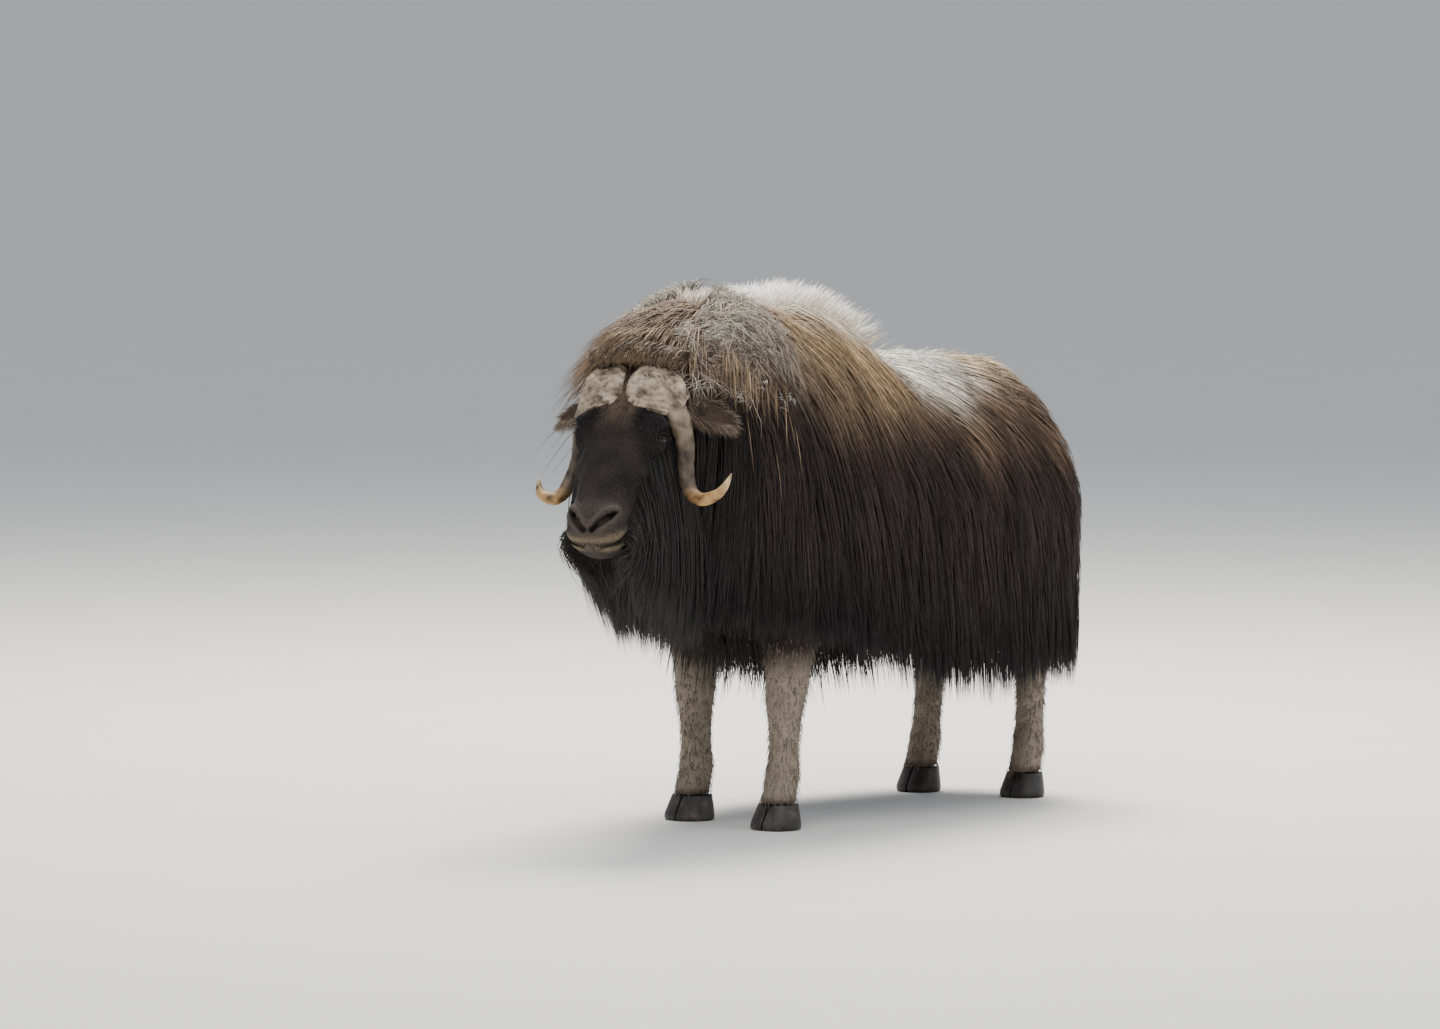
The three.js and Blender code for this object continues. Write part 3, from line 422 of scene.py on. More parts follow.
def coat_colour(points, down):
    """The coat's colour at points of the body, down from the ridge to the hem."""
    y = points[..., 1]
    wave = ripple(points, WAVE_SCALE, 3) * WAVE_HEIGHT - WAVE_HEIGHT / 2
    d = down + wave
    colour = mix(dye("brown"), dye("dark"), step(*DARK_DOWN, d))
    colour = mix(colour, dye("black"), step(*BLACK_DOWN, d))
    over_hump = step(*TAN_REAR, y) * step(*TAN_FRONT, y)
    colour = mix(colour, dye("tan"), step(*TAN_DOWN, d) * (TAN_ELSEWHERE + (1 - TAN_ELSEWHERE) * over_hump))
    colour = mix(colour, dye("cream"), step(*CREAM_DOWN, d) * step(*CREAM_REAR, y) * step(*CREAM_FRONT, y))
    saddle = step(*SADDLE_DOWN, d) * step(*SADDLE_FRONT, y) * step(*SADDLE_REAR, y)
    colour = mix(colour, dye("saddle"), saddle)
    rump = mix(dye("rump"), dye("brown"), step(*RUMP_BROWN, d))
    colour = mix(colour, rump, step(*RUMP_FRONT, y) * step(*RUMP_DOWN, d) * RUMP_SHARE)
    return mix(colour, dye("black"), step(*CHEST_REAR, y) * step(*CHEST_DOWN, d) * CHEST_SHARE)


# Hairs

HAIR_SIDES = 3
HAIR_PROFILE = (0.8, 1.0, 0.85, 0.55)
HAIR_FLATNESS, PATCH, PATCH_TIP = 0.45, 0.003, 0.2


def varied(rng, width, count):
    """Widths of hairs round a mean."""
    return width * rng.uniform(0.7, 1.3, count)


def hair_mesh(name, paths, outs, widths, colours, spots):
    """One mesh of closed tapered hairs. paths and outs are hairs x points x 3, widths and spots (the
    roots' places on the skin's unwrap) are one per hair, and colours are hairs x points x 3."""
    count, steps = paths.shape[:2]
    rings = steps - 1
    tangents = unit(np.gradient(paths, axis=1))
    across = unit(np.cross(tangents, outs))
    normal = np.cross(across, tangents)
    profile = np.interp(np.linspace(0, 1, rings), np.linspace(0, 1, len(HAIR_PROFILE)), HAIR_PROFILE)
    angles = np.arange(HAIR_SIDES) * TURN / HAIR_SIDES + QUARTER_TURN
    half = widths[:, None, None, None] * profile[None, :, None, None] / 2
    ring_points = (
        paths[:, :rings, None]
        + across[:, :rings, None] * np.cos(angles)[None, None, :, None] * half
        + normal[:, :rings, None] * np.sin(angles)[None, None, :, None] * half * HAIR_FLATNESS
    )
    points = np.concatenate((ring_points.reshape(count, -1, 3), paths[:, -1:]), 1)
    per_hair = points.shape[1]
    faces = [(0, 1, 2)]
    for r in range(rings - 1):
        for i in range(HAIR_SIDES):
            a, b = r * HAIR_SIDES + i, r * HAIR_SIDES + (i + 1) % HAIR_SIDES
            faces += [(b, a, a + HAIR_SIDES), (b, a + HAIR_SIDES, b + HAIR_SIDES)]
    last = (rings - 1) * HAIR_SIDES
    faces += [(last + (i + 1) % HAIR_SIDES, last + i, rings * HAIR_SIDES) for i in range(HAIR_SIDES)]
    faces = np.array(faces)
    all_faces = (faces[None] + (np.arange(count) * per_hair)[:, None, None]).reshape(-1, 3)
    made = mesh_object(name, points.reshape(-1, 3), all_faces)
    ring_colours = np.repeat(colours[:, :rings], HAIR_SIDES, 1)
    paint(made.data, np.concatenate((ring_colours, colours[:, -1:]), 1).reshape(-1, 3))
    around = np.tile(np.stack((np.cos(angles), np.sin(angles)), -1), (rings, 1))
    patch = np.concatenate((around, [[0, 0]]))
    patch[:-1] *= np.repeat(np.linspace(1, PATCH_TIP, rings), HAIR_SIDES)[:, None]
    unwrap(made.data, (spots[:, None] * (1 - 2 * PATCH) + PATCH + patch[None] * PATCH / 2).reshape(-1, 2))
    return made


def spots_at(across, along_piece):
    """Places on an unwrap from two shares for each hair."""
    return np.stack((across, along_piece), -1).clip(0, 1)


def unwrap(mesh, places):
    """Gives the mesh the map OFBake, with a place for each vertex."""
    corners = np.empty(len(mesh.loops), np.int32)
    mesh.loops.foreach_get("vertex_index", corners)
    for layer in list(mesh.uv_layers):
        mesh.uv_layers.remove(layer)
    bake = mesh.uv_layers.new(name="OFBake")
    bake.uv.foreach_set("vector", places[corners].astype(np.float32).ravel())


# Materials


def new_material(name, roughness, sheen=0.0, specular=0.5):
    """A material, its nodes and links, and its shader with the given finish."""
    material = bpy.data.materials.new(name)
    material.use_nodes = True
    shader = material.node_tree.nodes["Principled BSDF"]
    shader.inputs["Roughness"].default_value = roughness
    shader.inputs["Sheen Weight"].default_value = sheen
    shader.inputs["Specular IOR Level"].default_value = specular
    return material, material.node_tree.nodes, material.node_tree.links, shader


def noise(nodes, links, scale, detail=4.0):
    """Noise over the object's own coordinates."""
    made = nodes.new("ShaderNodeTexNoise")
    made.inputs["Scale"].default_value = scale
    made.inputs["Detail"].default_value = detail
    links.new(nodes.new("ShaderNodeTexCoord").outputs["Object"], made.inputs["Vector"])
    return made.outputs["Fac"]


MIX_SHARE, MIX_FIRST, MIX_SECOND = 0, 6, 7


def multiplied(nodes, links, first, second):
    """The product of two colours."""
    made = nodes.new("ShaderNodeMix")
    made.data_type, made.blend_type = "RGBA", "MULTIPLY"
    made.inputs[MIX_SHARE].default_value = 1.0
    links.new(first, made.inputs[MIX_FIRST])
    links.new(second, made.inputs[MIX_SECOND])
    return made.outputs[2]


def ramp(nodes, links, value, stops):
    """Colours at stops along a value."""
    made = nodes.new("ShaderNodeValToRGB")
    links.new(value, made.inputs[0])
    while len(made.color_ramp.elements) < len(stops):
        made.color_ramp.elements.new(0.5)
    for element, (position, colour) in zip(made.color_ramp.elements, stops):
        element.position = position
        element.color = (*colour, 1)
    return made.outputs["Color"]


def grey(level):
    """A grey for a ramp that lightens or darkens what it multiplies."""
    return (level,) * 3


def add_bump(nodes, links, shader, height, distance, strength=0.6):
    """Raises the shader's surface by a height."""
    made = nodes.new("ShaderNodeBump")
    made.inputs["Distance"].default_value = distance
    made.inputs["Strength"].default_value = strength
    links.new(height, made.inputs["Height"])
    links.new(made.outputs["Normal"], shader.inputs["Normal"])


def painted(nodes):
    """The colour painted on the mesh."""
    made = nodes.new("ShaderNodeAttribute")
    made.attribute_name = PAINT_NAME
    return made.outputs["Color"]


STREAKS, STREAK_STOPS = 60.0, ((0.3, grey(0.72)), (0.7, grey(1.2)))
SKIN_GRAIN, SKIN_STOPS, SKIN_RELIEF = 240.0, ((0.3, grey(0.6)), (0.72, grey(1.25))), 0.003
HORN_GRAIN, HORN_RELIEF = 30.0, 0.006
HORN_STOPS = ((0.32, srgb(110, 98, 84)), (0.5, srgb(208, 202, 194)), (0.7, grey(1.0)))
EYE_GRAIN, EYE_STOPS = 90.0, ((0.35, srgb(16, 10, 8)), (0.7, srgb(48, 30, 20)))
HOOF_GRAIN, HOOF_PITS, HOOF_RELIEF = 30.0, 140.0, 0.002
HOOF_STOPS = ((0.3, srgb(22, 18, 16)), (0.55, srgb(48, 42, 38)), (0.8, srgb(92, 82, 72)))
FLOOR_GRAIN, FLOOR_STOPS = 3.0, ((0.0, (0.78, 0.77, 0.75)), (1.0, (0.82, 0.81, 0.79)))


def hair_material(name, roughness=0.62):
    """Hair that takes the colour painted on its mesh, streaked along and across the coat."""
    material, nodes, links, shader = new_material(name, roughness, sheen=0.05, specular=0.30)
    shade = ramp(nodes, links, noise(nodes, links, STREAKS, 3.0), STREAK_STOPS)
    links.new(multiplied(nodes, links, painted(nodes), shade), shader.inputs["Base Color"])
    return material


def skin_material():
    """Short hair over the skin: the painted colour, broken by fine streaks and a hairy bump."""
    material, nodes, links, shader = new_material("skin_hair", 0.85, sheen=0.04, specular=0.16)
    fine = noise(nodes, links, SKIN_GRAIN, 6.0)
    shade = ramp(nodes, links, fine, SKIN_STOPS)
    links.new(multiplied(nodes, links, painted(nodes), shade), shader.inputs["Base Color"])
    add_bump(nodes, links, shader, fine, SKIN_RELIEF)
    return material


def horn_material():
    """Grey, furrowed horn on the boss that turns smooth and golden, with a pale tip."""
    material, nodes, links, shader = new_material("horn", 0.55, specular=0.45)
    grain = noise(nodes, links, HORN_GRAIN, 8.0)
    rough = ramp(nodes, links, grain, HORN_STOPS)
    links.new(multiplied(nodes, links, rough, painted(nodes)), shader.inputs["Base Color"])
    add_bump(nodes, links, shader, grain, HORN_RELIEF, 0.7)
    return material


def eye_material():
    """A dark, wet eye."""
    material, nodes, links, shader = new_material("eye", 0.1, specular=0.22)
    links.new(ramp(nodes, links, noise(nodes, links, EYE_GRAIN), EYE_STOPS), shader.inputs["Base Color"])
    return material


def hoof_material():
    """Dull, scuffed hoof horn."""
    material, nodes, links, shader = new_material("hoof", 0.5)
    shade = ramp(nodes, links, noise(nodes, links, HOOF_GRAIN, 8.0), HOOF_STOPS)
    links.new(shade, shader.inputs["Base Color"])
    add_bump(nodes, links, shader, noise(nodes, links, HOOF_PITS, 5.0), HOOF_RELIEF)
    return material


def floor_material():
    """The pale studio floor."""
    material, nodes, links, shader = new_material("floor", 0.9, specular=0.2)
    links.new(ramp(nodes, links, noise(nodes, links, FLOOR_GRAIN), FLOOR_STOPS), shader.inputs["Base Color"])
    return material


def give(obj, material):
    """Finishes a piece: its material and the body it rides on."""
    obj.data.materials.clear()
    obj.data.materials.append(material)
    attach(obj, "root")


# Legs

FORE_X, HIND_X, HOOF_TOP_Z = 0.172, 0.160, 0.068
LEGS = {
    "foreleg_left": (1, True, -0.030),
    "foreleg_right": (-1, True, 0.026),
    "hindleg_left": (1, False, 0.034),
    "hindleg_right": (-1, False, -0.022),
}


def leg_stations(side, fore, set_forward):
    """Level oval stations of a leg: x, y, z, half width in x, half width in y."""
    x, s = side * (FORE_X if fore else HIND_X), set_forward
    if fore:
        return np.array((
            (x, -0.120 + s * 0.1, 0.640, 0.095, 0.120), (x, -0.118 + s * 0.3, 0.540, 0.078, 0.092),
            (x, -0.118 + s * 0.5, 0.470, 0.066, 0.074), (x, -0.122 + s * 0.6, 0.400, 0.056, 0.062),
            (x, -0.128 + s * 0.7, 0.345, 0.052, 0.058), (x, -0.128 + s * 0.8, 0.290, 0.044, 0.048),
            (x, -0.128 + s * 0.9, 0.205, 0.039, 0.043), (x, -0.132 + s, 0.140, 0.045, 0.050),
            (x, -0.144 + s, 0.092, 0.044, 0.050), (x, -0.152 + s, HOOF_TOP_Z, 0.050, 0.056)))
    return np.array((
        (x, 0.800 + s * 0.1, 0.660, 0.100, 0.150), (x, 0.850 + s * 0.2, 0.540, 0.082, 0.104),
        (x, 0.900 + s * 0.4, 0.470, 0.058, 0.070), (x, 0.930 + s * 0.6, 0.405, 0.047, 0.060),
        (x, 0.936 + s * 0.7, 0.350, 0.042, 0.052), (x, 0.930 + s * 0.8, 0.280, 0.038, 0.043),
        (x, 0.922 + s * 0.9, 0.200, 0.037, 0.041), (x, 0.914 + s, 0.136, 0.043, 0.048),
        (x, 0.902 + s, 0.090, 0.042, 0.048), (x, 0.895 + s, HOOF_TOP_Z, 0.047, 0.053)))


def leg_surface(stations, z, angle):
    """Points of a leg at heights z and angles round it."""
    rising = stations[::-1]
    x, y, half_x, half_y = (smooth_through(rising[:, 2], rising[:, i], z) for i in (0, 1, 3, 4))
    return np.stack((x + half_x * np.cos(angle), y + half_y * np.sin(angle), z + 0 * angle), -1)


# The coat's layout

SIDE_RUN, REAR_RUN, THROAT_RUN = HIP_Y - POLL_Y, 0.95, 0.50
RUNS = np.cumsum((0, SIDE_RUN, REAR_RUN, SIDE_RUN, THROAT_RUN))
ROUND = RUNS[-1]


def place(run):
    """y and turn of the coat's column at a distance run round the body, from the left of the throat."""
    run = np.mod(run, ROUND)
    left = run < RUNS[1]
    rear = (run >= RUNS[1]) & (run < RUNS[2])
    right = (run >= RUNS[2]) & (run < RUNS[3])
    right_y = np.where(right, HIP_Y - (run - RUNS[2]), POLL_Y)
    y = np.where(left, POLL_Y + run, np.where(rear, HIP_Y, right_y))
    rear_turn = HALF_TURN * (run - RUNS[1]) / REAR_RUN
    throat_turn = HALF_TURN * (1 + (run - RUNS[3]) / THROAT_RUN)
    turn = np.where(left, 0.0, np.where(rear, rear_turn, np.where(right, HALF_TURN, throat_turn)))
    return y, turn


def backwards(run):
    """The way along the run that leads to the tail: 1 on the left, -1 on the right, 0 at the throat."""
    way = np.where(run < TAIL_RUN, 1.0, -1.0)
    return np.where(run > RUNS[3], 0.0, way)


HEAD_MARGIN = 0.006
BOSS_MIDDLE, BOSS_HALF = (0.078, -0.034, 0.048), np.array((0.084, 0.052, 0.098))
NEAREST_HEAD, NEAREST_BOSS = 0.05, 0.2


def clear_of_head(points, margin=HEAD_MARGIN):
    """Points moved out of the head and the boss, with a margin, and which of them were in the head."""
    local = to_head(points)
    s, u, f = local[..., 0], local[..., 1], local[..., 2]
    face, jaw, half, square, widest = (of_head(i, f) for i in range(1, 6))
    middle = face - (face - jaw) * widest
    tall = np.where(u >= middle, face - middle, middle - jaw) + margin
    reach = ((np.abs(s) / (half + margin)) ** square + (np.abs(u - middle) / tall) ** square) ** (1 / square)
    inside = (reach < 1) & (f > HEAD_TABLE[0, 0]) & (f < HEAD_TABLE[-1, 0])
    grow = np.where(inside, 1 / np.maximum(reach, NEAREST_HEAD), 1)
    moved = np.stack((s * grow, middle + (u - middle) * grow, f), -1)
    local = np.where(inside[..., None], moved, local)
    for side in (1, -1):
        centre, size = np.array(BOSS_MIDDLE) * (side, 1, 1), BOSS_HALF + margin
        away = (local - centre) / size
        far = np.linalg.norm(away, axis=-1, keepdims=True)
        local = np.where(far < 1, centre + away / np.maximum(far, NEAREST_BOSS) * size, local)
    return from_head(local), inside


CLUMPS_ROUND, CLUMPS_DOWN = 120, 14
TAIL_RUN = RUNS[1] + REAR_RUN / 2
HAIR_STEPS = 5
# Regions of the coat, each its own piece: where its run starts and ends
MANE_FROM, SHOULDER_FROM, FLANK_FROM, HAUNCH_FROM = -0.03, 0.24, 0.80, 1.24
REGIONS = {
    "mane_left": (MANE_FROM, SHOULDER_FROM),
    "shoulder_left": (SHOULDER_FROM, FLANK_FROM),
    "flank_left": (FLANK_FROM, HAUNCH_FROM),
    "haunch_left": (HAUNCH_FROM, TAIL_RUN),
    "haunch_right": (TAIL_RUN, RUNS[3] - HAUNCH_FROM),
    "flank_right": (RUNS[3] - HAUNCH_FROM, RUNS[3] - FLANK_FROM),
    "shoulder_right": (RUNS[3] - FLANK_FROM, RUNS[3] - SHOULDER_FROM),
    "mane_right": (RUNS[3] - SHOULDER_FROM, RUNS[3] - MANE_FROM),
    "throat": (RUNS[3], RUNS[4]),
}
CLUMP_SEED = 5
LOWEST_ROOT, ROOT_SPREAD, FEWEST_AT_ENDS = 0.74, (1.0, 1.25), 0.12
SADDLE_HAIR_FRONT, SADDLE_HAIR_REAR, SADDLE_HAIR_DOWN = (0.26, 0.36), (0.95, 0.8), (0.3, 0.14)
TOP_LENGTH, ADDED_LENGTH, SADDLE_SHORTER = 0.24, 0.34, 0.55
HEM_WAVE, HEM_SCATTER = 0.035, 0.012
TOP_DRIFT, LOST_DRIFT, DRIFT_FREE_RUN = 0.10, 0.07, 0.16
CLUMP_PULL, HAIR_SCATTER = 0.75, 0.006
TIP_LAYER, LOOSE_SHARE, LOOSE_DEPTH = (0.7, 1.06), 0.25, 0.25
WOOLLY_Y, WOOLLY_X, WOOLLY_Z = (-0.16, -0.3), (0.02, 0.16), (1.12, 1.22)
WOOLLY_PATCHES, WOOLLY_SHARE = (0.42, 0.62), 0.9
BLEACHED_SHARE, BLEACHING, ROOT_SHADE = 0.1, 1.45, 0.45


def coat_roots(rng, run_range, density):
    """Where the long hairs of a region root: along the run, down the coat, and y."""
    start, end = run_range
    count = int(density * (end - start))
    run = rng.uniform(start, end, count)
    root = rng.beta(*ROOT_SPREAD, count) * LOWEST_ROOT
    y, turn = place(run)
    capped = (turn % HALF_TURN) > 1e-6
    room = np.sin(np.clip(root / WIDEST, 0, 1) * QUARTER_TURN) + FEWEST_AT_ENDS
    keep = ~capped | (rng.uniform(0, 1, count) < room)
    return run[keep], root[keep], y[keep]


def coat_paths(rng, run, root, y, mood):
    """The long hairs' paths, ways out and places down, drawn together in clumps and combed to the tail."""
    count = len(run)
    t = np.linspace(0, 1, HAIR_STEPS)[None]
    clump_run = (np.floor(run / ROUND * CLUMPS_ROUND) + 0.5 + mood[:, 0] * 0.4) * ROUND / CLUMPS_ROUND
    saddle = step(*SADDLE_HAIR_FRONT, y) * step(*SADDLE_HAIR_REAR, y) * step(*SADDLE_HAIR_DOWN, root)
    length = (TOP_LENGTH + ADDED_LENGTH * step(0.15, 0.6, root)) * (1 - SADDLE_SHORTER * saddle)
    length = length * (1 + 0.12 * mood[:, 1]) * rng.uniform(0.8, 1.15, count)
    ends = np.minimum(root + length, 1.0 + HEM_WAVE * mood[:, 2] + rng.normal(0, HEM_SCATTER, count))
    from_throat = np.mod(run, ROUND)
    to_throat = np.minimum(from_throat, np.abs(RUNS[3] - from_throat))
    drift = (TOP_DRIFT - LOST_DRIFT * step(0.1, 0.5, root)) * (1 + 0.5 * mood[:, 3]) * backwards(from_throat)
    drift = drift * step(0.0, DRIFT_FREE_RUN, to_throat)
    pull = CLUMP_PULL * t**1.2
    spread = rng.normal(0, HAIR_SCATTER, count)[:, None] * t
    path_run = run[:, None] + (clump_run - run)[:, None] * pull + drift[:, None] * t**1.3 + spread
    down = root[:, None] + (ends - root)[:, None] * t
    tip_layer = np.clip(0.93 + 0.07 * mood[:, 4] + rng.normal(0, 0.05, count), *TIP_LAYER)
    tip_layer = tip_layer - LOOSE_DEPTH * (rng.uniform(0, 1, count) < LOOSE_SHARE)
    layer = SKIN_LAYER + (tip_layer[:, None] - SKIN_LAYER) * (1 - (1 - np.clip(t * 1.25, 0, 1)) ** 2)
    ys, turns = place(path_run)
    points = coat_point(ys, turns, down, layer)
    in_skin = np.full(count, SKIN_LAYER - 0.02)
    points[:, 0] = coat_point(ys[:, 0], turns[:, 0], down[:, 0], in_skin, closed=True)
    return points, coat_out(ys, turns, down), down


def long_hair_colours(rng, points, down, root, mood):
    """The markings, woolly patches, clump tones, bleached hairs and dark roots of the long coat."""
    count = len(root)
    colours = coat_colour(points, down)
    x, y, z = points[..., 0], points[..., 1], points[..., 2]
    woolly = step(*WOOLLY_Y, y) * step(*WOOLLY_X, x) * step(*WOOLLY_Z, z)
    woolly = woolly * step(*WOOLLY_PATCHES, ripple(points, 0.16, 9))
    colours = mix(colours, dye("wool"), woolly * WOOLLY_SHARE)
    contrast = 1 + 0.9 * step(0.5, 0.25, root)
    tone = (1 + 0.2 * mood[:, 5] * contrast + rng.normal(0, 0.14, count) * contrast)[:, None, None]
    bleached = (rng.uniform(0, 1, count) < BLEACHED_SHARE)[:, None, None]
    colours = colours * np.clip(tone, 0.4, 1.8) * np.where(bleached, BLEACHING, 1.0)
    along_hair = np.clip(np.linspace(0, 1, HAIR_STEPS)[None] * 2.2, 0, 1)
    return np.clip(colours * (ROOT_SHADE + (1 - ROOT_SHADE) * along_hair)[..., None], 0, 1)


def coat_hairs(name, run_range, density, width, seed):
    """Long hairs of one region, in clumps, from the skin out to the coat's tips and down."""
    rng = np.random.default_rng(seed)
    start, end = run_range
    run, root, y = coat_roots(rng, run_range, density)
    clump = np.floor(np.mod(run, ROUND) / ROUND * CLUMPS_ROUND).astype(int) * CLUMPS_DOWN
    clump = clump + np.floor(root * CLUMPS_DOWN).astype(int)
    clump_count = CLUMPS_ROUND * CLUMPS_DOWN + CLUMPS_DOWN
    mood = np.random.default_rng(CLUMP_SEED).uniform(-1, 1, (clump_count, 6))[clump]
    points, outs, down = coat_paths(rng, run, root, y, mood)
    points, buried = clear_of_head(points)
    shown = ~buried[:, 1]
    points, outs, down, mood, run, root = (a[shown] for a in (points, outs, down, mood, run, root))
    colours = long_hair_colours(rng, points, down, root, mood)
    spots = spots_at((run - start) / (end - start), root / 0.75)
    return hair_mesh("coat_" + name, points, outs, varied(rng, width, len(run)), colours, spots)


def free_hairs(name, roots, ways, lengths, gravity, widths, colours, spots, outs, steps=4):
    """Hairs that start along ways and bend by gravity, a vector for all."""
    t = np.linspace(0, 1, steps)[None, :, None]
    reach = lengths[:, None, None]
    paths = roots[:, None] + ways[:, None] * reach * t + np.array(gravity)[None] * reach * t**2
    side = np.repeat(unit(outs)[:, None], steps, 1)
    shade = (0.6 + 0.4 * np.clip(np.linspace(0, 1, steps) * 2, 0, 1))[None, :, None]
    return hair_mesh(name, paths, side, widths, np.clip(colours[:, None] * shade, 0, 1), spots)


# Head forms

LIP_LIFT = 0.006


MOUTH_FADE = (MOUTH_CORNER[1] - 0.012, MOUTH_CORNER[1] + 0.03)


def mouth_gap(points):
    """How far points of the head lie over the mouth line, and how surely they are in front of its corner."""
    back = (MOUTH_FRONT - MOUTH_CORNER) / np.linalg.norm(MOUTH_FRONT - MOUTH_CORNER)
    from_front = points[..., 1:] - MOUTH_FRONT
    over = from_front[..., 0] * back[1] - from_front[..., 1] * back[0]
    return over, step(*MOUTH_FADE, points[..., 2])


def nostril_gap(points):
    """The distance from points of the head to the nearer nostril's slit, and the place along it."""
    line = np.array(NOSTRIL)
    points = mirrored(points)
    nearest = np.full(points.shape[:-1], 1.0)
    place_along = np.zeros(points.shape[:-1])
    for i, (a, b) in enumerate(zip(line[:-1], line[1:])):
        share = np.clip(((points - a) @ (b - a)) / np.dot(b - a, b - a), 0, 1)
        gap = np.linalg.norm(points - a - share[..., None] * (b - a), axis=-1)
        closer = gap < nearest
        nearest = np.where(closer, gap, nearest)
        place_along = np.where(closer, (i + share) / (len(line) - 1), place_along)
    return nearest, place_along


# Swellings and hollows of the head: centre, half sizes, height, and whether there is one on each side.
# They are the orbit, brow, cheek, nostril pad, nose, upper lip, chin, eye, tear hollow and muzzle side.
HEAD_FORMS = (
    (ORBIT_AT + (0.014, 0.010, 0.0), (0.06, 0.06, 0.066), 0.024, True),
    ((0.102, -0.040, 0.122), (0.05, 0.045, 0.030), 0.016, True),
    ((0.100, -0.150, 0.20), (0.05, 0.07, 0.09), 0.012, True),
    ((0.062, -0.020, 0.418), (0.040, 0.045, 0.045), 0.010, True),
    ((0.034, -0.010, 0.425), (0.030, 0.03, 0.045), 0.005, True),
    ((0.028, -0.046, 0.474), (0.040, 0.022, 0.026), 0.007, True),
    ((0.0, -0.090, 0.484), (0.055, 0.018, 0.024), 0.007, False),
    (EYE_AT + (0.016, 0.006, -0.002), (0.040, 0.026, 0.034), -0.034, True),
    ((0.095, -0.040, 0.225), (0.045, 0.045, 0.045), -0.008, True),
    ((0.076, -0.052, 0.31), (0.03, 0.05, 0.09), -0.007, True),
)
HEAD_CORE_U = -0.12
FOLD_AT, FOLD_HALF, FOLD_DEPTH, FOLD_WIDTH = (0.10, -0.06, 0.215), (0.06, 0.06, 0.05), 0.004, 0.005
MOUTH_DEPTH, MOUTH_HALF = 0.013, 0.0048
UPPER_LIP_OVER, UPPER_LIP_HALF, LOWER_LIP_OVER, LOWER_LIP_HALF = 0.016, 0.010, -0.014, 0.009
SLIT_HALF, SLIT_SWELLING, SLIT_DEPTH, RIM_HEIGHT, RIM_HALF = 0.0058, 0.0046, 0.022, 0.0045, 0.005
PHILTRUM_HALF, PHILTRUM_DEPTH, PHILTRUM_F = 0.003, 0.005, (0.455, 0.475)


def way_out(points):
    """The way out of the head at points of it."""
    core = np.stack((0 * points[..., 0], 0 * points[..., 0] + HEAD_CORE_U, points[..., 2]), -1)
    return unit(points - core)


def head_detail(points):
    """The head's surface with its brow, orbits, cheeks, lips, mouth line and nostrils worked in."""
    lift = sum(bump(points, *form) for form in HEAD_FORMS)
    fold = np.abs(points[..., 2] - FOLD_AT[2] - 0.5 * (points[..., 1] + 0.05))
    lift -= FOLD_DEPTH * fall_off(fold, FOLD_WIDTH) * bump(points, FOLD_AT, FOLD_HALF, 1.0)
    over, in_mouth = mouth_gap(points)
    lift -= MOUTH_DEPTH * fall_off(over, MOUTH_HALF) * in_mouth
    lift += LIP_LIFT * fall_off(over - UPPER_LIP_OVER, UPPER_LIP_HALF) * in_mouth
    lift += LIP_LIFT * 0.8 * fall_off(over - LOWER_LIP_OVER, LOWER_LIP_HALF) * in_mouth
    slit, place_along = nostril_gap(points)
    half = SLIT_HALF + SLIT_SWELLING * np.sin(np.clip(place_along * 1.15, 0, 1) * HALF_TURN)
    lift -= SLIT_DEPTH * np.exp(-((slit / half) ** 4))
    lift += RIM_HEIGHT * fall_off(slit - half - 0.006, RIM_HALF)
    philtrum = fall_off(points[..., 0], PHILTRUM_HALF) * step(*PHILTRUM_F, points[..., 2])
    philtrum = philtrum * step(0.0, 0.006, over)
    return points + way_out(points) * (lift - PHILTRUM_DEPTH * philtrum)[..., None]


BROW_DOWN, BROW_OUT, BROW_ACROSS = (0.20, 0.06), (-0.10, -0.02), (0.075, 0.03)
MUZZLE_DOWN, MUZZLE_OUT, JAW_OUT = (0.34, 0.42), (-0.09, -0.02), (-0.10, -0.19)
# The pale of the upper and the lower lip: how far over the mouth line, half width, and from where on f
LIPS = ((0.018, 0.013, (0.415, 0.455)), (-0.014, 0.011, (0.42, 0.465)))
# The centre of the painted shadow that the boss and brow cast over the eye
BOSS_SHADOW_AT = (0.092, -0.03, 0.125)


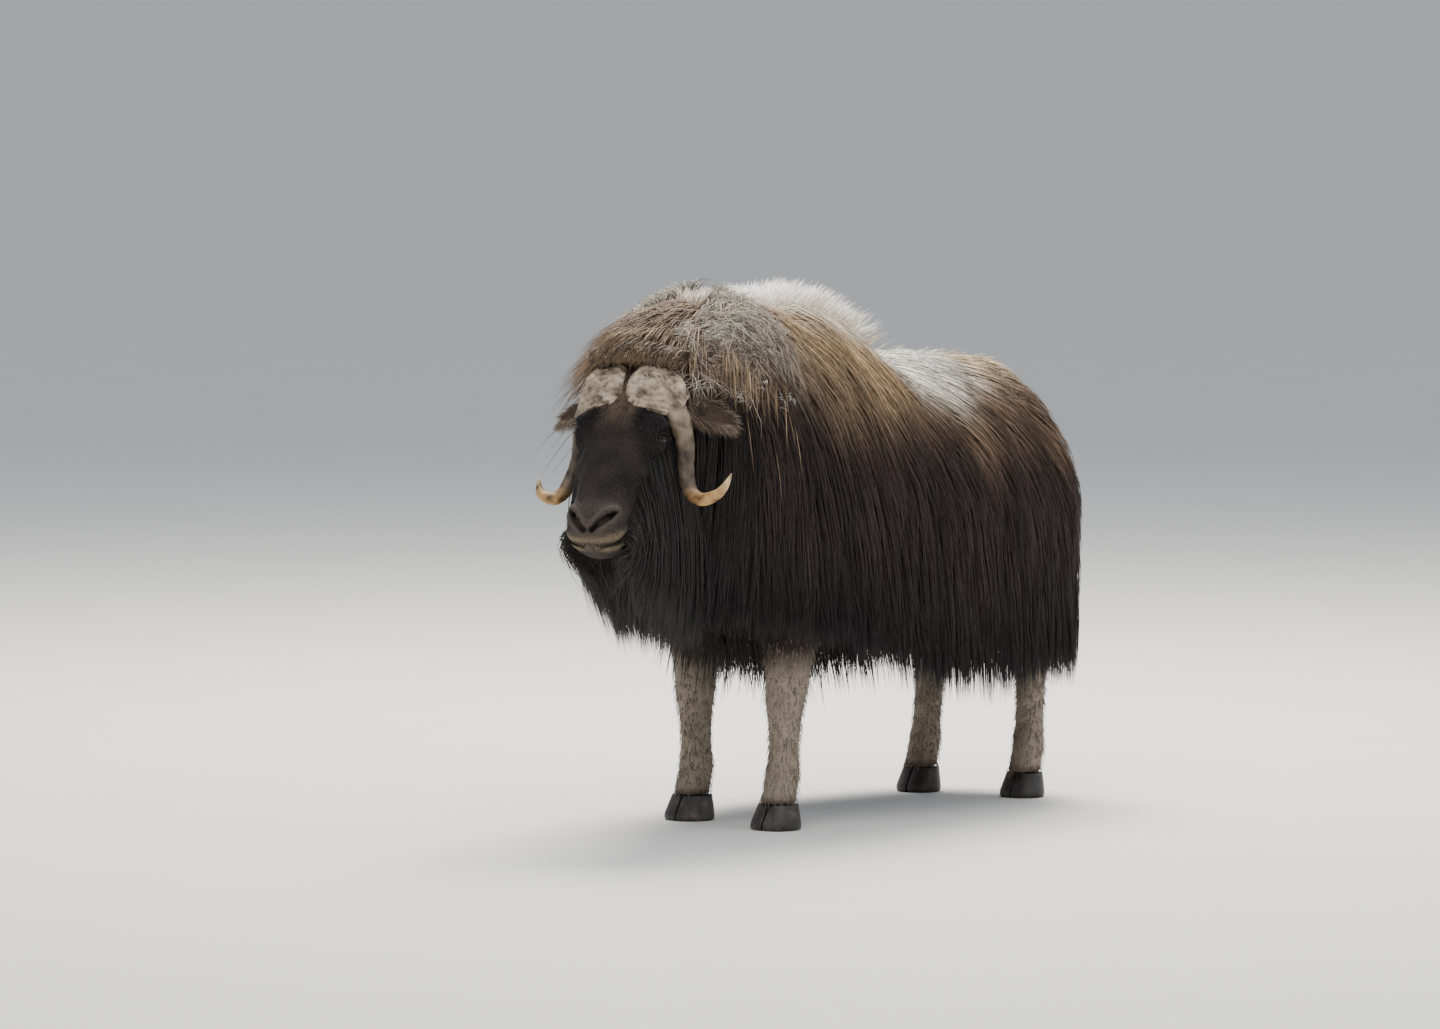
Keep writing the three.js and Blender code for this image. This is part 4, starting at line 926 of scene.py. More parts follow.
def head_colour(local):
    """Dark face hair, browner between the horns, pale round the lips, black in the mouth line and nostrils;
    painted shade round the eyes and under the jaw, a painted shadow of the boss over the eyes, and a painted
    highlight over the nostrils.
    """
    s, u, f = local[..., 0], local[..., 1], local[..., 2]
    colour = mix(dye("face"), FACE_BROWN, ripple(local, 0.08, 12) * 0.7)
    brow = step(*BROW_DOWN, f) * step(*BROW_OUT, u) * step(*BROW_ACROSS, np.abs(s))
    colour = mix(colour, BROW_TOP, brow * (0.4 + 0.6 * ripple(local, 0.05, 14)))
    colour = mix(colour, MUZZLE_GREY, step(*MUZZLE_DOWN, f) * step(*MUZZLE_OUT, u) * 0.7)
    over, in_mouth = mouth_gap(local)
    lips = sum(fall_off(over - at, half) * in_mouth * step(*front, f) for at, half, front in LIPS)
    colour = mix(colour, dye("lip"), np.clip(lips, 0, 1) * (0.6 + 0.4 * ripple(local, 0.02, 4)))
    colour = mix(colour, MOUTH_LINE, fall_off(over, 0.006) * in_mouth)
    # Painted shade in the orbit round the eye, then the painted shadow of the boss and brow above it
    for at, hollow, edges in ((EYE_AT, PAINTED_EYE_SHADE, (0.085, 0.03)), (BOSS_SHADOW_AT, BOSS_SHADOW, (0.07, 0.03))):
        gap = np.linalg.norm(mirrored(local) - at, axis=-1)
        colour = mix(colour, hollow, step(*edges, gap) * 0.85)
    slit, _ = nostril_gap(local)
    # A painted highlight round the nostrils, on their upper side only
    colour = mix(colour, NOSTRIL_HIGHLIGHT, fall_off(slit - 0.018, 0.007) * step(-0.05, -0.012, u) * 0.5)
    colour = mix(colour, NOSTRIL_HOLE, step(0.0125, 0.006, slit))
    return mix(colour, JAW_SHADE, step(*JAW_OUT, u) * 0.8)


# An ear's stations: s, u, f, half width and half thickness from its root to its tip
EAR = (
    (0.112, -0.128, 0.024, 0.022, 0.020),
    (0.142, -0.136, 0.022, 0.032, 0.019),
    (0.182, -0.150, 0.026, 0.036, 0.015),
    (0.222, -0.162, 0.036, 0.024, 0.010),
    (0.250, -0.168, 0.046, 0.004, 0.004),
)
EAR_RINGS, EAR_SIDES = 28, 28


def ear_rings(side):
    """Rings of an ear along its length, with its front hollowed into a cup, in the head's frame."""
    table = np.array(EAR)
    t = np.linspace(0, 1, EAR_RINGS)
    steps = np.linspace(0, 1, len(EAR))
    s, u, f, wide, thick = (smooth_through(steps, table[:, i], t)[:, None] for i in range(5))
    angle = np.arange(EAR_SIDES)[None] * TURN / EAR_SIDES
    hollow = np.where(np.sin(angle) > 0, np.sin(angle) ** 2, 0) * step(0.08, 0.3, t)[:, None]
    way = np.sin(angle) * (1 - 1.5 * hollow)
    return np.stack((side * (s + 0.3 * thick * way), u + thick * way, f + wide * np.cos(angle)), -1)


# Stations of half the boss and of a horn: s, u, f, half width and half thickness
BOSS = (
    (0.011, -0.030, 0.030, 0.056, 0.032),
    (0.038, -0.027, 0.032, 0.074, 0.043),
    (0.074, -0.032, 0.034, 0.072, 0.043),
    (0.108, -0.050, 0.040, 0.064, 0.038),
    (0.130, -0.080, 0.052, 0.046, 0.030),
)
HORN = (
    (0.118, -0.058, 0.056, 0.030, 0.040),
    (0.138, -0.094, 0.090, 0.027, 0.034),
    (0.150, -0.128, 0.132, 0.024, 0.029),
    (0.156, -0.153, 0.180, 0.021, 0.026),
    (0.167, -0.166, 0.226, 0.020, 0.024),
    (0.194, -0.168, 0.266, 0.018, 0.022),
    (0.234, -0.160, 0.284, 0.017, 0.020),
    (0.270, -0.152, 0.274, 0.014, 0.016),
    (0.291, -0.148, 0.246, 0.009, 0.010),
    (0.299, -0.146, 0.212, 0.0025, 0.0025),
)
# Which way the width of the horn faces at each station
HORN_REFS = (
    (1, 0, 0), (1, 0, 0), (1, 0, 0), (1, 0, 0), (0.9, 0.2, -0.3), (0.6, 0.4, -0.6), (0, 0.6, -0.9),
    (-0.6, 0.6, -0.6), (-0.9, 0.4, -0.3), (-1, 0.2, 0),
)
WORN_SPREAD, WORN_DROP, WORN_FROM = 0.84, 0.034, 4


def horn_table(side):
    """The stations of the left horn, 1, or of the worn right one, -1."""
    table = np.array(HORN)
    if side < 0:
        share = np.maximum(np.arange(len(table)) - WORN_FROM, 0) / (len(table) - 1 - WORN_FROM)
        table[:, 0] *= 1 - (1 - WORN_SPREAD) * np.minimum(share * 2, 1)
        table[:, 2] += WORN_DROP * share
    return table


def swept_rings(table, refs, count, sides, side):
    """Rings of an oval tube through a table of s, u, f, half width along ref and half thickness."""
    steps, t = np.linspace(0, 1, len(table)), np.linspace(0, 1, count)
    columns = [smooth_through(steps, table[:, i], t) for i in range(5)]
    centre = np.stack(columns[:3], -1)
    refs = np.stack([smooth_through(steps, np.array(refs, float)[:, i], t) for i in range(3)], -1)
    tangent = unit(np.gradient(centre, axis=0))
    wide_way = unit(refs - tangent * (refs * tangent).sum(-1, keepdims=True))
    thick_way = np.cross(tangent, wide_way)
    angle = np.arange(sides) * TURN / sides
    rings = (centre[:, None] + wide_way[:, None] * (np.cos(angle)[None, :, None] * columns[3][:, None, None])
             + thick_way[:, None] * (np.sin(angle)[None, :, None] * columns[4][:, None, None]))
    return rings * (side, 1, 1), t


# Settings


class MUSKOX_coat_settings(bpy.types.PropertyGroup):
    density: bpy.props.FloatProperty(
        name="Hairs a metre", description="Long hairs for each metre round it", default=9000.0, min=100.0)
    width: bpy.props.FloatProperty(
        name="Hair width", description="Width of a bundle of guard hairs", default=0.0056, unit="LENGTH")
    short: bpy.props.IntProperty(
        name="Short hairs", description="Short hairs on the face", default=8200, min=100)
    beard: bpy.props.IntProperty(
        name="Beard hairs", description="Long hairs under the jaw", default=5000, min=100)
    belly: bpy.props.IntProperty(
        name="Belly hairs", description="Hairs under the chest and belly", default=3600, min=100)
    wool: bpy.props.IntProperty(
        name="Wool tufts", description="Tufts of shed wool on each side of the neck", default=220, min=10)
    crest: bpy.props.IntProperty(
        name="Crest hairs", description="Pale hairs that stand on the hump", default=3600, min=100)
    legs: bpy.props.IntProperty(
        name="Leg hairs", description="Short hairs on each leg", default=1300, min=100)
    ears: bpy.props.IntProperty(
        name="Ear hairs", description="Short hairs on each ear", default=900, min=100)


def colour_setting(name, description, *values):
    """A colour that a user may change, from the three values that a screen shows."""
    return bpy.props.FloatVectorProperty(
        name=name, description=description, subtype="COLOR", size=3, min=0.0, max=1.0,
        default=tuple(float(value) for value in srgb(*values)))


class MUSKOX_colour_settings(bpy.types.PropertyGroup):
    crest: colour_setting("Crest", "Hair that stands on the hump", 252, 248, 238)
    cream: colour_setting("Cream", "The coat round the crest", 238, 230, 212)
    saddle: colour_setting("Saddle", "The pale patch on the back", 240, 232, 218)
    tan: colour_setting("Tan", "The top of the coat, beside the crest", 168, 142, 110)
    wool: colour_setting("Wool", "Shed wool on the neck", 158, 140, 122)
    rump: colour_setting("Rump", "The top of the rump", 206, 184, 150)
    brown: colour_setting("Brown", "The upper sides of the coat", 92, 70, 56)
    dark: colour_setting("Dark", "The middle of the sides", 50, 39, 38)
    black: colour_setting("Black", "The skirt of hair and the beard", 18, 13, 15)
    face: colour_setting("Face", "Short hair of the face", 28, 22, 22)
    lip: colour_setting("Lips", "The pale edge of the lips", 112, 99, 80)
    stocking: colour_setting("Legs", "Short hair of the legs", 150, 138, 122)
    whisker: colour_setting("Whiskers", "Whiskers and lashes", 46, 38, 34)
    boss: colour_setting("Boss", "The raised parts of the boss", 196, 182, 160)
    furrow: colour_setting("Furrows", "The furrows of the boss", 96, 82, 66)
    # The next colour is the horn's own grey-brown, partly darkened as painted shade beside the face
    shaft: colour_setting("Horn", "The horn beside the face", 92, 79, 66)
    hook: colour_setting("Horn hook", "Where the horn turns up", 190, 152, 98)
    tip: colour_setting("Horn tip", "The tip of the horn", 214, 190, 146)


class MUSKOX_body_settings(bpy.types.PropertyGroup):
    voxel: bpy.props.FloatProperty(
        name="Skin detail", description="Size of the skin's faces on the body", default=0.012, unit="LENGTH")
    whiskers: bpy.props.FloatProperty(
        name="Whiskers", description="Whiskers on a square metre of muzzle", default=9000.0)
    lashes: bpy.props.FloatProperty(
        name="Lashes", description="Lashes on a square metre of lid edge", default=700000.0)
    eye: bpy.props.FloatProperty(
        name="Eye radius", description="Radius of the eyeball", default=EYE_RADIUS, unit="LENGTH")


class MUSKOX_stage_settings(bpy.types.PropertyGroup):
    azimuth: bpy.props.FloatProperty(
        name="Azimuth", description="The camera's turn round the animal", default=math.radians(39),
        subtype="ANGLE")
    elevation: bpy.props.FloatProperty(
        name="Elevation", description="The camera's angle over the ground", default=math.radians(4),
        subtype="ANGLE")
    distance: bpy.props.FloatProperty(
        name="Distance", description="From the camera to the animal", default=24.0, unit="LENGTH")
    floor: bpy.props.FloatProperty(
        name="Floor radius", description="Radius of the pale floor", default=300.0, unit="LENGTH")


# The skin's parts

# The tail: y, z, half width and half thickness from its root to its tip
TAIL = (
    (1.080, 0.990, 0.026, 0.020),
    (1.136, 0.940, 0.038, 0.024),
    (1.150, 0.870, 0.040, 0.022),
    (1.152, 0.800, 0.012, 0.008),
)


def tail_surface(t, angle):
    """Points of the tail at shares t of its length and angles round it."""
    table = np.array(TAIL)
    y, z, wide, thick = (smooth_through(np.linspace(0, 1, len(TAIL)), table[:, i], t) for i in range(4))
    return np.stack((wide * np.cos(angle), y + thick * np.sin(angle), z + 0 * angle), -1)


# How finely the skin is made: points round and along the body, a leg, the tail and the head
BODY_COLUMNS, BODY_ROWS, LEG_COLUMNS, LEG_ROWS, TAIL_COLUMNS, TAIL_ROWS = 150, 44, 32, 60, 18, 18
HEAD_COLUMNS, SKULL_ROWS, MUZZLE_ROWS, MUZZLE_F = 150, 90, 56, (0.38, 0.492)
SMOOTHINGS, SMOOTH_SHARE = 4, 0.5
SIDE_DOWN, SIDE_SHADE = 0.6, 0.7
LEG_TOP_Z, ANKLE_Z = (0.50, 0.40), (0.1, 0.07)


class MUSKOX_OT_skin(bpy.types.Operator):
    """Make the skin of the whole animal: body, head, ears, legs and tail"""

    bl_idname = "muskox.skin"
    bl_label = "Skin"

    def execute(self, context):
        settings = context.scene.muskox_body
        pieces = [self.body(settings.voxel), self.head()]
        for side in (1, -1):
            ear = loft_object("ear_skin", from_head(ear_rings(side)))
            paint_all(ear.data, EAR_SKIN)
            pieces.append(ear)
            for upper in (True, False):
                pieces.append(eyelid(side, upper, settings.eye))
        skin = join("skin", pieces)
        give(skin, skin_material())
        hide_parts("head", "jaw", "ear_left", "ear_right", "neck_left", "neck_right", "hump",
                    "shoulder_left", "shoulder_right", "back", "flank_left", "flank_right", "rump",
                    "haunch_left", "haunch_right", "tail", "beard", *LEGS)
        return {"FINISHED"}

    def body(self, voxel):
        """Body, legs and tail, grown together and painted."""
        ys, turns = place(np.linspace(0, ROUND, BODY_COLUMNS, endpoint=False))
        downs = np.linspace(0, 1, BODY_ROWS)[:, None]
        in_skin = np.full_like(downs, SKIN_LAYER)
        parts = [loft_object("skin", coat_point(ys[None], turns[None], downs, in_skin, closed=True))]
        for name, (side, fore, forward) in LEGS.items():
            stations = leg_stations(side, fore, forward)
            heights = np.linspace(stations[0, 2], HOOF_TOP_Z + 0.002, LEG_ROWS)[:, None]
            angle = np.arange(LEG_COLUMNS)[None] * TURN / LEG_COLUMNS
            parts.append(loft_object(name + "_skin", leg_surface(stations, heights, angle)))
        along_tail = np.linspace(0.02, 0.98, TAIL_ROWS)[:, None]
        tail = tail_surface(along_tail, np.arange(TAIL_COLUMNS)[None] * TURN / TAIL_COLUMNS)
        parts.append(loft_object("tail_skin", tail))
        body = join("skin", parts)
        remesh = body.modifiers.new("Remesh", "REMESH")
        remesh.mode, remesh.voxel_size = "VOXEL", voxel
        smooth = body.modifiers.new("Smooth", "SMOOTH")
        smooth.iterations, smooth.factor = SMOOTHINGS, SMOOTH_SHARE
        apply_modifiers(body)
        points = vertex_points(body.data) - SHIFT
        body_colour = coat_colour(points, np.full(len(points), SIDE_DOWN)) * SIDE_SHADE
        ankle = step(*ANKLE_Z, points[:, 2]) + 0.4 * ripple(points, 0.1, 6)
        leg_colour = mix(dye("stocking"), ANKLE_SKIN, ankle)
        paint(body.data, mix(body_colour, leg_colour, step(*LEG_TOP_Z, points[:, 2])))
        return body

    def head(self):
        """The head, with more rows on the muzzle, painted."""
        skull = np.linspace(HEAD_TABLE[0, 0], MUZZLE_F[0], SKULL_ROWS, endpoint=False)
        rows = np.concatenate((skull, np.linspace(*MUZZLE_F, MUZZLE_ROWS)))
        angles = np.arange(HEAD_COLUMNS) * TURN / HEAD_COLUMNS
        head = loft_object("head_skin", from_head(head_detail(head_surface(rows[:, None], angles[None]))))
        # The head's colours hold painted shade round the eyes and under the jaw, a painted shadow under the
        # boss and a painted highlight over the nostrils
        paint(head.data, head_colour(to_head(vertex_points(head.data) - SHIFT)))
        return head


LID_THICKNESS, LID_REACH, LID_GAP = 0.0032, 1.35, 0.0006
LID_COLUMNS, LID_ROWS = 25, 8
UPPER_BOW, LOWER_BOW = 0.46, -0.62
EYE_LOOKS, BROW_WAY = (0.93, 0.30, 0.20), np.array((0.0, 0.35, -0.94))


def eye_way(side):
    """The way that an eye looks, in the head's frame."""
    return unit(np.array(EYE_LOOKS) * (side, 1, 1))


def lid_points(side, upper, radius, share):
    """Points of a lid round the eye at a radius, share running from its bowed edge, 0, to its back, 1."""
    looks = eye_way(side)
    rise = unit(BROW_WAY - looks * np.dot(BROW_WAY, looks))
    across = np.cross(rise, looks)
    turn = np.linspace(-LID_REACH, LID_REACH, LID_COLUMNS)[None]
    edge = (UPPER_BOW if upper else LOWER_BOW) * np.cos(turn / LID_REACH * QUARTER_TURN)
    back = LID_REACH if upper else -LID_REACH
    tilt = edge + (back - edge) * share
    level = looks * (np.cos(tilt) * np.cos(turn))[..., None]
    level = level + across * (np.cos(tilt) * np.sin(turn))[..., None]
    way = level + rise * (np.sin(tilt) + 0 * turn)[..., None]
    return EYE_AT * (side, 1, 1) + way * radius


def open_grid_faces(rows, columns):
    """Quads of a grid whose rows don't close round."""
    return grid_faces(rows, columns).reshape(rows - 1, columns, 4)[:, :-1].reshape(-1, 4)


def eyelid(side, upper, radius):
    """A lid: part of a thick shell round the eye, its edge bowed over the eyeball."""
    share = np.linspace(0, 1, LID_ROWS)[:, None]
    inner, outer = (lid_points(side, upper, radius + LID_GAP + depth, share) for depth in (0, LID_THICKNESS))
    strip = np.concatenate((inner, outer[::-1], inner[:1]))
    made = mesh_object("lid", from_head(strip).reshape(-1, 3), open_grid_faces(*strip.shape[:2]))
    finish_mesh(made)
    paint_all(made.data, LID)
    return made


class MUSKOX_OT_coat(bpy.types.Operator):
    """Grow the long coat over the body, one piece for each region"""

    bl_idname = "muskox.coat"
    bl_label = "Long coat"

    def execute(self, context):
        settings = context.scene.muskox_coat
        material = hair_material("long_hair")
        for i, (name, run_range) in enumerate(REGIONS.items()):
            piece = coat_hairs(name, run_range, settings.density, settings.width, 100 + i)
            give(piece, material)
        return {"FINISHED"}


FRINGE_FROM_F, FRINGE_TO_F, FRINGE_HALF, FRINGE_RISE = -0.13, -0.040, 0.125, 0.115
# Widths of the bundles of hair, and the ways that gravity bends them
BELLY_WIDTH, TAIL_WIDTH, RIDGE_WIDTH, CREST_WIDTH, FORELOCK_WIDTH = 0.0052, 0.0036, 0.0048, 0.0044, 0.0042
FRINGE_WIDTH, WOOL_WIDTH, BEARD_WIDTH = 0.0040, 0.0027, 0.0050
FACE_WIDTH, EAR_WIDTH, LEG_WIDTH = 0.0022, 0.0026, 0.0026
BELLY_BEND, TAIL_BEND = (0, 0, -0.2), (0, -0.05, -0.1)
RIDGE_BEND, CREST_BEND = (0, 0, -0.35), (0, 0.16, -0.14)
FACE_BEND, EAR_BEND, LEG_BEND = (0, 0, -0.12), (0, 0, -0.3), (0, 0, -0.1)
BELLY_LENGTH, TAIL_LENGTH, RIDGE_LENGTH, CREST_LENGTH = (0.07, 0.15), (0.04, 0.09), (0.07, 0.12), (0.11, 0.15)
FORELOCK_LENGTH, EAR_LENGTH, LEG_LENGTH = (0.13, 0.21), (0.018, 0.040), (0.012, 0.024)
BELLY_FROM, TAIL_SPAN = 0.70, (0.05, 0.9)
RIDGE_Y, CREST_Y, FORELOCK_REAR_Y = (0.12, 0.98), (-0.42, 0.25), -0.26
BOSS_REACH_S = 0.30
BOSS_TOP_F = -0.020
FLECKS = ((0.08, 0.32), (0.12, 0.38), (0.04, 0.42), (0.16, 0.30), (0.20, 0.40), (0.10, 0.20))


def shares(rng, mean, spread, count):
    """Shares between 0 and 1, round a mean."""
    return np.clip(rng.normal(mean, spread, count), 0, 1)


def either_side(rng, count):
    """A turn on the left or the right of the spine for each hair."""
    return np.where(rng.uniform(0, 1, count) < 0.5, 0.0, HALF_TURN)


def spine_spots(y, span, turn, down):
    """Places on the unwrap for hairs beside the spine."""
    side = 0.5 + np.where(turn > 0, -1, 1) * np.clip(down, 0, 0.4)
    return spots_at((y - span[0]) / (span[1] - span[0]), side)


class MUSKOX_OT_belly(bpy.types.Operator):
    """Hang dark hair from the underside of the chest and belly, and from the tail"""

    bl_idname = "muskox.belly"
    bl_label = "Belly and tail hair"

    def execute(self, context):
        rng = np.random.default_rng(29)
        count = context.scene.muskox_coat.belly
        material = bpy.data.materials["long_hair"]
        run = rng.uniform(0, ROUND, count)
        down = 1 - (1 - BELLY_FROM) * rng.beta(1.0, 1.3, count)
        y, turn = place(run)
        roots = coat_point(y, turn, down, np.full(count, SKIN_LAYER), closed=True)
        out = coat_out(y, turn, down)
        ways = unit(out * 0.22 - UP + rng.normal(0, 0.08, (count, 3)))
        lengths = rng.uniform(*BELLY_LENGTH, count) * (0.8 + 0.5 * ripple(roots, 0.09, 19))
        tones = mix(dye("black"), dye("dark"), shares(rng, 0.3, 0.3, count))
        spots = spots_at(run / ROUND, (down - BELLY_FROM) / (1 - BELLY_FROM))
        self.tail(rng, count // 4, material)
        belly = free_hairs("belly_hair", roots, ways, lengths, BELLY_BEND, varied(rng, BELLY_WIDTH, count),
                           tones, spots, out, steps=5)
        give(belly, material)
        return {"FINISHED"}

    def tail(self, rng, count, material):
        """Hair down the tail."""
        t, angle = rng.uniform(*TAIL_SPAN, count), rng.uniform(0, TURN, count)
        roots = tail_surface(t, angle)
        out = np.stack((np.cos(angle), np.sin(angle), 0 * angle), -1)
        ways = unit(out * 0.12 - UP + rng.normal(0, 0.07, (count, 3)))
        tones = mix(dye("black"), dye("brown"), shares(rng, 0.5, 0.3, count))
        spots = np.stack((angle / TURN, t), -1)
        lengths = rng.uniform(*TAIL_LENGTH, count)
        tail = free_hairs("tail_hair", roots, ways, lengths, TAIL_BEND, varied(rng, TAIL_WIDTH, count),
                          tones, spots, out)
        give(tail, material)


class MUSKOX_OT_crest(bpy.types.Operator):
    """Stand the pale crest on the hump, comb the forelock forward and lay its fringe on the boss"""

    bl_idname = "muskox.crest"
    bl_label = "Crest and forelock"

    def execute(self, context):
        rng = np.random.default_rng(31)
        count = context.scene.muskox_coat.crest
        material = hair_material("crest_hair")
        self.crest(rng, count, material)
        self.forelock(rng, count * 5 // 4, material)
        self.fringe(rng, count // 2, material)
        self.ridge(rng, count // 2, material)
        return {"FINISHED"}

    def ridge(self, rng, count, material):
        """Hair that lies back along the ridge behind the crest."""
        y = rng.uniform(*RIDGE_Y, count)
        down = np.abs(rng.normal(0, 0.045, count))
        turn = either_side(rng, count)
        roots = coat_point(y, turn, down, np.full(count, 0.5))
        out = coat_out(y, turn, down)
        ways = unit(TAILWARD + out * 0.42 + rng.normal(0, 0.14, (count, 3)))
        colours = coat_colour(roots, down) * np.clip(rng.normal(1.0, 0.14, count), 0.5, 1.4)[:, None]
        spots = spine_spots(y, RIDGE_Y, turn, down)
        lengths = rng.uniform(*RIDGE_LENGTH, count)
        ridge = free_hairs("ridge_hair", roots, ways, lengths, RIDGE_BEND, varied(rng, RIDGE_WIDTH, count),
                           np.clip(colours, 0, 1), spots, out)
        give(ridge, material)

    def crest(self, rng, count, material):
        """Pale hair that stands on the hump and leans back."""
        y = rng.uniform(*CREST_Y, count)
        down = np.abs(rng.normal(0, 0.06, count))
        turn = either_side(rng, count)
        roots = coat_point(y, turn, down, np.full(count, 0.35))
        out = coat_out(y, turn, down)
        lean = 0.45 + 0.6 * step(-0.1, 0.22, y) + 0.7 * (ripple(roots, 0.07, 17) - 0.5)
        ways = unit(out + TAILWARD * lean[:, None] + rng.normal(0, 0.12, (count, 3)))
        lengths = rng.uniform(*CREST_LENGTH, count) * (0.80 + 0.34 * step(-0.2, 0.12, y))
        dull = step(0.03, 0.16, down) * 0.8 + step(-0.22, -0.46, y) * 0.8 + rng.normal(0, 0.12, count)
        colours = mix(dye("crest"), dye("tan"), np.clip(dull, 0, 1))
        crest = free_hairs("crest", roots, ways, lengths, CREST_BEND, varied(rng, CREST_WIDTH, count),
                           colours, spine_spots(y, CREST_Y, turn, down), out, steps=5)
        give(crest, material)

    def forelock(self, rng, count, material):
        """Hair combed forward and down from the poll, short of the boss."""
        on_ridge = rng.uniform(0, 1, count) < 0.5
        y = np.where(on_ridge, rng.uniform(POLL_Y, FORELOCK_REAR_Y, count), POLL_Y)
        turn = np.where(on_ridge, either_side(rng, count), rng.uniform(HALF_TURN, TURN, count))
        down = np.where(on_ridge, np.abs(rng.normal(0, 0.14, count)), rng.uniform(0, 0.26, count))
        roots = coat_point(y, turn, down, np.where(on_ridge, 0.6, 0.45))
        out = coat_out(y, turn, down)
        tuft = ripple(roots, 0.08, 23) - 0.5
        parted = np.sign(np.cos(turn) * np.where(on_ridge, 1, 0))
        sideways = parted * 0.55 * step(0.0, 0.2, down) + 0.35 * tuft
        falling = UP * (0.6 * step(0.04, 0.22, down))[:, None]
        ways = out * 0.42 + np.array((1.0, 0, 0)) * sideways[:, None] - TAILWARD - falling
        ways = unit(ways + rng.normal(0, 0.10, (count, 3)))
        t = np.linspace(0, 1, HAIR_STEPS)[None, :, None]
        reach = rng.uniform(*FORELOCK_LENGTH, count)[:, None, None]
        for _ in range(2):
            paths = roots[:, None] + ways[:, None] * reach * t - UP * (0.55 * reach * t**2)
            in_head = to_head(paths)
            past = in_head[:, -1, 2] - BOSS_TOP_F - 0.02 * tuft
            length_in_f = np.maximum(in_head[:, -1, 2] - in_head[:, 0, 2], 0.01)
            over_head = (np.abs(in_head[:, -1, 0]) < BOSS_REACH_S) & (past > 0)
            reach = reach * np.where(over_head, np.clip(1 - past / length_in_f, 0.1, 1), 1)[:, None, None]
        paths[:, 1:], _ = clear_of_head(paths[:, 1:])
        outs = np.repeat(out[:, None], HAIR_STEPS, 1)
        share = np.clip(rng.normal(0.45, 0.28, count) + 0.7 * tuft, 0, 1)
        colours = mix(dye("brown"), dye("tan"), share)[:, None] * (0.5 + 0.6 * t)
        pale = (rng.uniform(0, 1, count) < 0.25)[:, None, None]
        colours = np.where(pale, np.clip(colours * 1.5, 0, 1), colours)
        spots = spots_at((y + 0.7) / 0.8, np.mod(turn / TURN, 1))
        widths = varied(rng, FORELOCK_WIDTH, count)
        give(hair_mesh("forelock", paths, outs, widths, np.clip(colours, 0, 1), spots), material)

    def fringe(self, rng, count, material):
        """Short hair that laps over the top edge of the boss."""
        s = rng.uniform(-FRINGE_HALF, FRINGE_HALF, count)
        start_f = rng.uniform(FRINGE_FROM_F, FRINGE_TO_F - 0.03, count)
        start = np.stack((s, -0.07 - 0.05 * np.abs(s) / FRINGE_HALF, start_f), -1)
        t = np.linspace(0, 1, HAIR_STEPS)[None, :, None]
        ends = FRINGE_TO_F + 0.035 * ripple(start, 0.05, 8) + rng.normal(0, 0.006, count)
        reach = (ends - start_f)[:, None, None]
        rise = np.array((0, FRINGE_RISE, 0)) * np.sin(np.clip(t * 1.2, 0, 1) * QUARTER_TURN)
        over = start[:, None] + rise + np.array((0.0, 0.0, 1.0)) * reach * t**1.3
        over = over + rng.normal(0, 0.008, (count, 1, 3)) * t
        paths, _ = clear_of_head(from_head(over), 0.005)
        outs = np.repeat(OUT_OF_FACE[None, None], HAIR_STEPS, 1).repeat(count, 0)
        colours = mix(dye("dark"), dye("tan"), shares(rng, 0.38, 0.3, count))[:, None] * (0.5 + 0.6 * t)
        across, along_face = (s + FRINGE_HALF) / (2 * FRINGE_HALF), (start_f - FRINGE_FROM_F) / 0.08
        spots = spots_at(across, along_face)
        widths = varied(rng, FRINGE_WIDTH, count)
        give(hair_mesh("fringe", paths, outs, widths, np.clip(colours, 0, 1), spots), material)


# Shed wool: hairs in a tuft, where tufts lie, which are streamers, and their lengths
TUFT_HAIRS, TUFT_RUN, STREAMERS_OVER, WHITE_UNDER = 14, (-0.06, 0.27), 0.86, 0.03
STREAMER_LENGTH, TUFT_LENGTH, FLECK_LENGTH = (0.12, 0.22), (0.035, 0.09), 0.022


